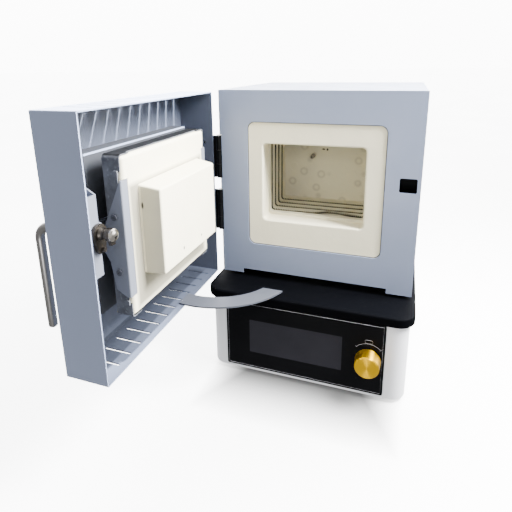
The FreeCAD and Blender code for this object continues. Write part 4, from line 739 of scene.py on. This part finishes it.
class FURNACE_OT_paint(bpy.types.Operator):
    """Powder coat on the casing, door and brackets"""

    bl_idname = "furnace.paint"
    bl_label = "Paint casing and door"

    def execute(self, context):
        colours = context.scene.furnace_colours
        coat = powder_coat("blue grey powder coat", colours.paint, 0.42)
        give(coat, "front_panel", "body_casing", "rear_cover")
        low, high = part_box("door_tray")
        wall = Vector((0.7, 0.7, 0.7)) * MM
        tray = powder_coat("blue grey door coat with painted shade", colours.paint, 0.42)
        shader = tray.node_tree.nodes["Principled BSDF"]
        past_mouth = Vector((20, 0, 0)) * MM
        # Painted shade: the inside of the tray is darkened, and its floor under the plug more so.
        tinted(tray, shader, inside_box(tray, low + wall, high - wall + past_mouth), 0.26)
        under_plug_shade = Vector((high.x - 16 * MM, high.y, low.z + 6 * MM))
        tinted(tray, shader, inside_box(tray, low - wall, under_plug_shade, 0.12), 0.42)
        give(tray, "door_tray")
        pale = powder_coat("pale powder coat", colours.bracket, 0.38, 0.08)
        give(pale, "latch_bracket")
        # Painted shade: the arc bar gets a darker copy of the bracket coat.
        give(powder_coat("arc bar coat in painted shade", shade(colours.bracket, 0.45), 0.38, 0.08), "arc_bar")
        sheet = powder_coat("grey arm coat", shade(colours.bracket, 1.05), 0.42, 0.08)
        give(sheet, "carrier_arms", "pivot_lugs")
        # Painted shade: the liner is coated charcoal for the shade in the door's hollow.
        liner = powder_coat("charcoal liner in painted shade", colours.liner, 0.5, 0.12, 0.15)
        shader = liner.node_tree.nodes["Principled BSDF"]
        low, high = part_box("door_liner")
        # Painted highlight: the liner's top lip gets blue-grey paint made lighter, for the light that its
        # edge catches.
        lip_highlight_low = Vector((high.x - 1.4 * MM, low.y - 1 * MM, high.z - 1.6 * MM))
        lip_highlight = inside_box(liner, lip_highlight_low, high + Vector((3, 3, 3)) * MM)
        overlay(liner, shader, lip_highlight, shade(colours.paint, 1.6), 0.3, 0.7)
        give(liner, "door_liner")
        black = powder_coat("black powder coat", colours.shelf, 0.6, 0.1, 0.01)
        give(black, "base_top_plate")
        dull = powder_coat("black hinge coat", colours.shelf, 0.5, 0.12, 0.1)
        give(dull, "body_hinge_leaves", "door_hinge_leaves", "support_rails", "base_pan")
        give(powder_coat("clip coat", shade(colours.liner, 2.2), 0.5, 0.12, 0.2), "corner_clips")
        white = powder_coat("white powder coat", colours.housing, 0.4, 0.06)
        give(white, "base_housing")
        return {"FINISHED"}


class FURNACE_OT_ceramics(bpy.types.Operator):
    """Cast refractory of the collar, chamber and plug, and the fibre behind it"""

    bl_idname = "furnace.ceramics"
    bl_label = "Finish refractory"

    def execute(self, context):
        colours = context.scene.furnace_colours
        clean = cast_refractory("clean refractory", colours.refractory, colours.stain, 0.62, 0.12)
        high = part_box("front_panel")[1] - Vector((38.6, 0, 37.7)) * MM
        # Painted shadow: a dark line round the collar's outline stands in for the shadow in the gap between
        # collar and panel.
        gap_shadow_rim = outer_edge(clean, spot(37.2, 0, 43.2), high, 8.8 * MM, 1.1 * MM)
        overlay(clean, clean.node_tree.nodes["Principled BSDF"], gap_shadow_rim, (0.05, 0.05, 0.052), 0.2, 0.8)
        give(clean, "ceramic_collar")
        plug = cast_refractory("plug refractory", colours.refractory, colours.stain, 0.62, 0.12)
        shader = plug.node_tree.nodes["Principled BSDF"]
        dark_spot = (0.03, 0.027, 0.024)
        # Painted shade: the slab's front round and below the block is darkened, where the block shades it.
        recess_shade = inside_box(plug, spot(-14, -194, 48), spot(3, -47, 171), 0.09)
        tinted(plug, shader, both(plug, recess_shade, facing(plug, "X")), 0.3)
        # Painted shade: the block's side that faces -Y is darkened.
        side = inside_box(plug, spot(-1, -190, 60), spot(17, -150, 164))
        tinted(plug, shader, both(plug, side, facing(plug, "Y", -1.0)), 0.62)
        # Painted shade: these dark spots stand in for the shade in two small pits in the block's face and a
        # slot in its side.
        pit(plug, shader, spot(18, -137.4, 91.2), (2.0, 1.6, 2.4), dark_spot)
        pit(plug, shader, spot(18, -97.8, 90.2), (2.0, 1.3, 1.6), dark_spot)
        pit(plug, shader, spot(-0.2, -176.6, 146.3), (1.5, 2.0, 4.2), dark_spot)
        give(plug, "plug_block")
        used = cast_refractory("fired refractory with painted groove shade", shade(colours.refractory, 0.8), colours.stain, 0.48, 0.4)
        shader = used.node_tree.nodes["Principled BSDF"]
        # Painted shade: a band along each of the four grooves is darkened.
        for depth in FURNACE_OT_coil.groove_depths:
            groove = inside_box(used, spot(0, depth - 2.3, 0), spot(260, depth + 2.3, 240), 0.35)
            tinted(used, shader, groove, 0.22)
        give(used, "chamber_muffle")
        back = cast_refractory("fired back wall with painted shade", shade(colours.refractory, 0.8), colours.stain, 0.5, 0.35)
        shader = back.node_tree.nodes["Principled BSDF"]
        # Painted shade: the upper part of the back wall is darkened, where less light reaches it.
        fade = inside_box(back, spot(0, 80, 135), spot(260, 140, 300), 0.4)
        tinted(back, shader, fade, 0.62)
        overlay(back, shader, faint_rings(back), shade(colours.stain, 0.55), 0.0, 1.0, 0.5)
        pit(back, shader, spot(113.2, 100.0, 152.8), (3.2, 3.0, 1.5), dark_spot)
        pit(back, shader, spot(118.6, 100.0, 152.6), (1.8, 3.0, 2.2), dark_spot)
        give(back, "chamber_back")
        tip = cast_refractory("thermocouple sheath", shade(colours.stain, 0.4), colours.stain, 0.6, 0.2)
        low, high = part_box("thermocouple")
        end = Vector((low.x + high.x, 2 * low.y, low.z + high.z)) / 2
        pit(tip, tip.node_tree.nodes["Principled BSDF"], end, (1.6, 6.0, 1.6), dark_spot)
        give(tip, "thermocouple")
        give(plug, "terminal_block")
        fibre = cast_refractory("ceramic fibre", shade(colours.refractory, 1.02), colours.stain, 0.7, 0.1)
        give(fibre, "insulation_jacket", "rear_board", "door_insulation")
        return {"FINISHED"}


class FURNACE_OT_metals(bpy.types.Operator):
    """Bare metal of the latch, pins and sheet"""

    bl_idname = "furnace.metals"
    bl_label = "Finish bare metal"

    def execute(self, context):
        colours = context.scene.furnace_colours
        give(turned_metal("stainless bar", colours.steel, 0.34, (1, 1, 0.1)), "handle_rod", "latch_bush")
        browned = turned_metal("browned steel", colours.cam, 0.4, (0.2, 1, 1), 0.3)
        give(browned, "latch_cam", "latch_nose", "latch_spacer")
        give(turned_metal("dome nut steel", (0.3, 0.28, 0.25), 0.18, (1, 1, 1), 0.05, 0.03), "dome_nut")
        zinc = turned_metal("zinc plate", (0.5, 0.5, 0.49), 0.38, (1, 1, 1), 0.1)
        give(zinc, "hinge_pins", "pivot_pins", "body_floor", "encoder_stem")
        give(turned_metal("plain aluminium", (0.72, 0.72, 0.74), 0.4, (1, 0.1, 1)), "heat_sink")
        give(turned_metal("brass", (0.7, 0.52, 0.22), 0.3, (1, 0.1, 1)), "board_standoffs")
        give(mottled_sheet("heat stained sheet with shaded top", (0.1, 0.106, 0.12)), "carrier_pan")
        return {"FINISHED"}


class FURNACE_OT_base(bpy.types.Operator):
    """Glass, display, knob, plastics and rubber of the base"""

    bl_idname = "furnace.base"
    bl_label = "Finish the base"

    def execute(self, context):
        colours = context.scene.furnace_colours
        give(black_glass("black glass", colours.glass), "glass_panel")
        give(unlit_display("unlit display", colours.display), "display_window")
        low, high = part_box("control_knob")
        give(spun_gold("gold anodise", colours.gold, (low + high) / 2), "control_knob")
        plastic = moulded_plastic("black plastic", (0.004, 0.004, 0.0045), 0.6, 0.05)
        give(
            plastic,
            "catch_box",
            "door_sensor",
            "display_module",
            "encoder_body",
            "encoder_plunger",
            "solid_state_relay",
            "inlet_socket",
            "mains_switch_frame",
            "fuse_holder",
        )
        give(moulded_plastic("rocker plastic", (0.02, 0.02, 0.022), 0.3), "mains_switch_rocker")
        give(moulded_plastic("foot rubber", (0.01, 0.01, 0.01), 0.8), "feet", "wire_grommet")
        give(moulded_plastic("green board", (0.02, 0.12, 0.05), 0.4), "controller_board", "power_supply")
        give(moulded_plastic("lead cover", (0.6, 0.58, 0.52), 0.6), "supply_leads")
        return {"FINISHED"}


class FURNACE_OT_coil(bpy.types.Operator):
    """Wound heating wire in the chamber's four grooves, with its two straight leads"""

    bl_idname = "furnace.coil"
    bl_label = "Wind the heating coil"

    groove_depths = (34.0, 50.0, 65.5, 82.0)
    step_low = 112.0
    step_high = 128.0
    wire_radius = 1.2 * MM
    groove_room = 1.4 * MM

    def loose_run(self, y, floor):
        """The front turn has sprung out of its groove on the right and lies on the chamber floor."""
        lift = 1.7 * MM
        # Millimetres across the face, millimetres off the groove's line, share of the lift
        places = (
            (112, 0.0, 0.0),
            (122, 1.0, 0.7),
            (134, 4.2, 1.0),
            (147, 4.0, 1.0),
            (160, 1.4, 1.0),
            (168, 0.2, 0.6),
        )
        return [Vector((spot(x, 0, 0).x, y + out * MM, floor + up * lift)) for x, out, up in places]

    def turn_points(self):
        """The wire's centre line round the chamber, from the node that it replaces."""
        low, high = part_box("heating_wire")
        chamber_low, chamber_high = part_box("chamber_muffle")
        inset = self.wire_radius + self.groove_room
        left, floor, ceiling = low.x + inset, low.z + inset, high.z - inset
        right = chamber_low.x + chamber_high.x - left
        start, end = spot(0, 0, self.step_high).z, spot(0, 0, self.step_low).z
        points = []
        for number, depth in enumerate(self.groove_depths):
            y = spot(0, depth, 0).y
            points += [
                Vector((right, y, start)),
                Vector((right, y, ceiling)),
                Vector((left, y, ceiling)),
                Vector((left, y, floor)),
                *(self.loose_run(y, floor) if number == 0 else ()),
                Vector((right, y, floor)),
                Vector((right, y, end)),
            ]
        return points

    def execute(self, context):
        sizes = context.scene.furnace_sizes
        material = moulded_plastic("oxidised wire", (0.004, 0.0036, 0.0032), 0.8, 0.05)
        points = self.turn_points()
        coil = grown(
            "heating_coil_turns",
            path_object([(points, False)]),
            coil_tree(),
            {
                "Coil radius": sizes.coil_radius,
                "Turn spacing": sizes.coil_spacing,
                "Wire radius": sizes.coil_wire,
            },
            material,
        )
        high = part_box("heating_wire")[1]
        lead_x = high.x - self.wire_radius
        leads = []
        for point in (points[0], points[-1]):
            bend, end = Vector((lead_x, point.y, point.z)), Vector((lead_x, high.y, point.z))
            leads.append(([point, bend, end], False))
        straight = grown(
            "heating_leads",
            path_object(leads),
            coil_tree(),
            {"Coil radius": 0.0, "Turn spacing": 18 * MM, "Wire radius": 0.9 * MM},
            material,
        )
        piece = joined_mesh("heating_coil", [coil, straight])
        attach(piece, "furnace")
        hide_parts("heating_wire")
        return {"FINISHED"}


class FURNACE_OT_screws(bpy.types.Operator):
    """Socket-head screws of the body, hinges and arms"""

    bl_idname = "furnace.screws"
    bl_label = "Fit the screws"

    def execute(self, context):
        metal = turned_metal("screw steel", (0.4, 0.4, 0.4), 0.35, (1, 1, 1), 0.1)
        low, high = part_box("body_casing")
        dress_screws("body_screws", "furnace", metal, (low + high) / 2)
        low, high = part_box("door_liner")
        dress_screws("door_hinge_screws", "door", metal, (low + high) / 2)
        low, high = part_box("carrier_pan")
        # Painted shade: the arm screws get a darker copy of the bracket coat.
        dark = powder_coat("arm screw coat in painted shade", shade(context.scene.furnace_colours.bracket, 0.5), 0.45, 0.08)
        dress_screws("arm_screws", "plug", dark, (low + high) / 2)
        return {"FINISHED"}


class FURNACE_OT_print(bpy.types.Operator):
    """Printed border and knob mark on the black glass"""

    bl_idname = "furnace.print_marks"
    bl_label = "Print the glass"

    def knob_arc(self, centre, radius, start, end, count=18):
        points = []
        for step in range(count + 1):
            angle = math.radians(start + (end - start) * step / count)
            points.append(centre + Vector((radius * math.cos(angle), 0, radius * math.sin(angle))))
        return points

    def execute(self, context):
        sizes = context.scene.furnace_sizes
        ink = moulded_plastic("pale print", context.scene.furnace_colours.print_ink, 0.5)
        low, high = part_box("glass_panel")
        y = low.y
        inset = sizes.border_inset
        left, right = low.x + inset, high.x - inset
        bottom, top = low.z + inset, high.z - 1.2 * MM
        corners = ((left, bottom), (right, bottom), (right, top), (left, top))
        border = [Vector((x, y, z)) for x, z in corners]
        knob_low, knob_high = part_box("control_knob")
        centre = (knob_low + knob_high) / 2
        centre.y = y
        radius = 18.9 * MM
        tick = 1.2 * MM
        arc_ends = (44, 136)
        runs = [(border, True), (self.knob_arc(centre, radius, *arc_ends), False)]
        for angle in arc_ends:
            inner = self.knob_arc(centre, radius - tick, angle, angle, 1)[0]
            outer = self.knob_arc(centre, radius + tick, angle, angle, 1)[0]
            runs.append(([inner, outer], False))
        mark = centre + Vector((0, 0, radius + 2.6 * MM))
        half_width, half_height, corner = 4.2 * MM, 2.1 * MM, 1.2 * MM
        outline = []
        for sx, sz, start in ((1, 1, 0), (-1, 1, 90), (-1, -1, 180), (1, -1, 270)):
            pivot = mark + Vector((sx * (half_width - corner), 0, sz * (half_height - corner)))
            outline += self.knob_arc(pivot, corner, start, start + 90, 4)
        runs.append((outline, True))
        piece = grown(
            "printed_marks",
            path_object(runs),
            line_tree(),
            {"Width": sizes.print_width, "Height": sizes.print_height * 2},
            ink,
        )
        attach(piece, "furnace")
        return {"FINISHED"}


class FURNACE_OT_stage(bpy.types.Operator):
    """Pale floor, white surround, soft light and the camera"""

    bl_idname = "furnace.stage"
    bl_label = "Set the studio"

    camera_at = (218.97, -496.09, 267.27)
    camera_yaw = -0.340
    camera_pitch = 0.262
    camera_roll = 0.014
    shift_x = 0.0059
    shift_y = -0.1447

    def floor(self, side, glow):
        mesh = bpy.data.meshes.new("floor")
        half = side / 2
        level = CAD_BOX[0].z
        mesh.from_pydata(
            [(-half, -half, level), (half, -half, level), (half, half, level), (-half, half, level)],
            [],
            [(0, 1, 2, 3)],
        )
        floor = bpy.data.objects.new("studio_floor", mesh)
        bpy.context.collection.objects.link(floor)
        material, shader = new_shader("studio floor", (0.93, 0.93, 0.93), 0.35)
        vary_roughness(material, shader, 0.3, 0.42, 3.0)
        mottle(material, shader, (0.93, 0.93, 0.93), 0.005, 2.0)
        # Painted shadow: the floor is darkened in front of the base, and the glow carries it too.
        low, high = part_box("base_housing")
        reach = Vector((-2, 80, 400)) * MM
        contact_shadow = inside_box(material, low - reach, high + reach, 0.44)
        for _ in range(2):  # twice, a painted contact shadow with a middle darker than its soft edge
            tinted(material, shader, contact_shadow, 0.12)
        floor_colour_with_painted_shadow = shader.inputs["Base Color"].links[0].from_socket
        material.node_tree.links.new(floor_colour_with_painted_shadow, shader.inputs["Emission Color"])
        shader.inputs["Emission Strength"].default_value = glow
        mesh.materials.append(material)
        floor.visible_diffuse = False
        floor.visible_glossy = False

    def surround(self, behind, front, below):
        """A white studio: bright paper behind, a dimmer room in front and little light from below."""
        world = bpy.data.worlds.new("studio")
        world.use_nodes = True
        tree = world.node_tree
        way = tree.nodes.new("ShaderNodeTexCoord")
        parts = tree.nodes.new("ShaderNodeSeparateXYZ")
        tree.links.new(way.outputs["Generated"], parts.inputs["Vector"])

        def fade(source, start, end, low, high):
            node = tree.nodes.new("ShaderNodeMapRange")
            node.interpolation_type = "SMOOTHSTEP"
            for label, value in (("From Min", start), ("From Max", end), ("To Min", low), ("To Max", high)):
                node.inputs[label].default_value = value
            tree.links.new(source, node.inputs["Value"])
            return node.outputs["Result"]

        by_depth = fade(parts.outputs["Y"], -0.05, 0.4, front, behind)
        by_height = fade(parts.outputs["Z"], 0.0, 0.25, 0.9, 1.0)
        upper = math_node(tree, "MULTIPLY", by_depth, by_height)
        whole = tree.nodes.new("ShaderNodeMix")
        whole.inputs["A"].default_value = below
        tree.links.new(fade(parts.outputs["Z"], -0.06, -0.02, 0.0, 1.0), whole.inputs["Factor"])
        tree.links.new(upper, whole.inputs["B"])
        background = tree.nodes["Background"]
        background.inputs["Color"].default_value = (1.0, 1.0, 1.0, 1.0)
        tree.links.new(whole.outputs["Result"], background.inputs["Strength"])
        bpy.context.scene.world = world

    def aimed(self, data, place, target):
        """Puts a light at a place and turns it to a target."""
        light = bpy.data.objects.new(data.name, data)
        light.location = place
        light.rotation_mode = "QUATERNION"
        light.rotation_quaternion = (target - place).to_track_quat("-Z", "Y")
        bpy.context.collection.objects.link(light)
        return light

    def lamp(self, name, place, target, size, power):
        data = bpy.data.lights.new(name, "AREA")
        data.shape = "DISK"
        data.size = size
        data.energy = power
        light = self.aimed(data, place, target)
        light.visible_camera = False
        return light

    def slot_lamp(self, power):
        """A narrow spot that only the door tray receives, for the streaks under its top slots."""
        data = bpy.data.lights.new("slot lamp", "SPOT")
        data.energy = power
        data.shadow_soft_size = 0.006
        data.spot_size = math.radians(30)
        data.spot_blend = 0.25
        light = self.aimed(data, spot(227, 12, 594), spot(-50, -125, 205))
        lit = bpy.data.collections.new("lit by the slot lamp")
        lit.objects.link(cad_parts["door_tray"])
        light.light_linking.receiver_collection = lit

    def camera(self, focal):
        data = bpy.data.cameras.new("camera")
        data.lens = focal
        data.sensor_width = 36.0
        data.shift_x = self.shift_x
        data.shift_y = self.shift_y
        data.clip_start = 0.01
        yaw, pitch, roll = self.camera_yaw, self.camera_pitch, self.camera_roll
        ahead = Vector(
            (math.sin(yaw) * math.cos(pitch), math.cos(yaw) * math.cos(pitch), -math.sin(pitch))
        )
        level = Vector((math.cos(yaw), -math.sin(yaw), 0.0))
        down = ahead.cross(level)
        right = level * math.cos(roll) + down * math.sin(roll)
        below = down * math.cos(roll) - level * math.sin(roll)
        turn = Matrix((right, -below, -ahead)).transposed().to_4x4()
        camera = bpy.data.objects.new("camera", data)
        camera.matrix_world = Matrix.Translation(spot(*self.camera_at)) @ turn
        bpy.context.collection.objects.link(camera)
        bpy.context.scene.camera = camera

    def execute(self, context):
        studio = context.scene.furnace_studio
        self.floor(context.scene.furnace_sizes.floor, studio.floor_glow)
        self.surround(studio.back_light, studio.front_light, studio.low_light)
        self.lamp("side softbox", spot(560, -20, 620), spot(-20, -110, 120), 0.36, studio.side_light)
        self.slot_lamp(studio.slot_light)
        card = self.lamp("sheen card", spot(150, -760, -20), spot(197, -60, -60), 0.12, studio.sheen_card)
        card.visible_diffuse = False
        self.camera(studio.focal)
        return {"FINISHED"}


class FURNACE_PT_panel(bpy.types.Panel):
    """Lists the furnace's operators in the sidebar"""

    bl_label = "Furnace"
    bl_idname = "FURNACE_PT_panel"
    bl_space_type = "VIEW_3D"
    bl_region_type = "UI"
    bl_category = "Furnace"

    def draw(self, context):
        for name in STEPS:
            self.layout.operator("furnace." + name)


STEPS = ("paint", "ceramics", "metals", "base", "coil", "screws", "print_marks", "stage")
CLASSES = (
    FurnaceColours,
    FurnaceSizes,
    FurnaceStudio,
    FURNACE_OT_paint,
    FURNACE_OT_ceramics,
    FURNACE_OT_metals,
    FURNACE_OT_base,
    FURNACE_OT_coil,
    FURNACE_OT_screws,
    FURNACE_OT_print,
    FURNACE_OT_stage,
    FURNACE_PT_panel,
)


def register():
    for item in CLASSES:
        bpy.utils.register_class(item)
    bpy.types.Scene.furnace_colours = bpy.props.PointerProperty(type=FurnaceColours)
    bpy.types.Scene.furnace_sizes = bpy.props.PointerProperty(type=FurnaceSizes)
    bpy.types.Scene.furnace_studio = bpy.props.PointerProperty(type=FurnaceStudio)


def unregister():
    del bpy.types.Scene.furnace_studio
    del bpy.types.Scene.furnace_sizes
    del bpy.types.Scene.furnace_colours
    for item in reversed(CLASSES):
        bpy.utils.unregister_class(item)


def main():
    register()
    for name in STEPS:
        getattr(bpy.ops.furnace, name)()


if __name__ == "__main__":
    main()
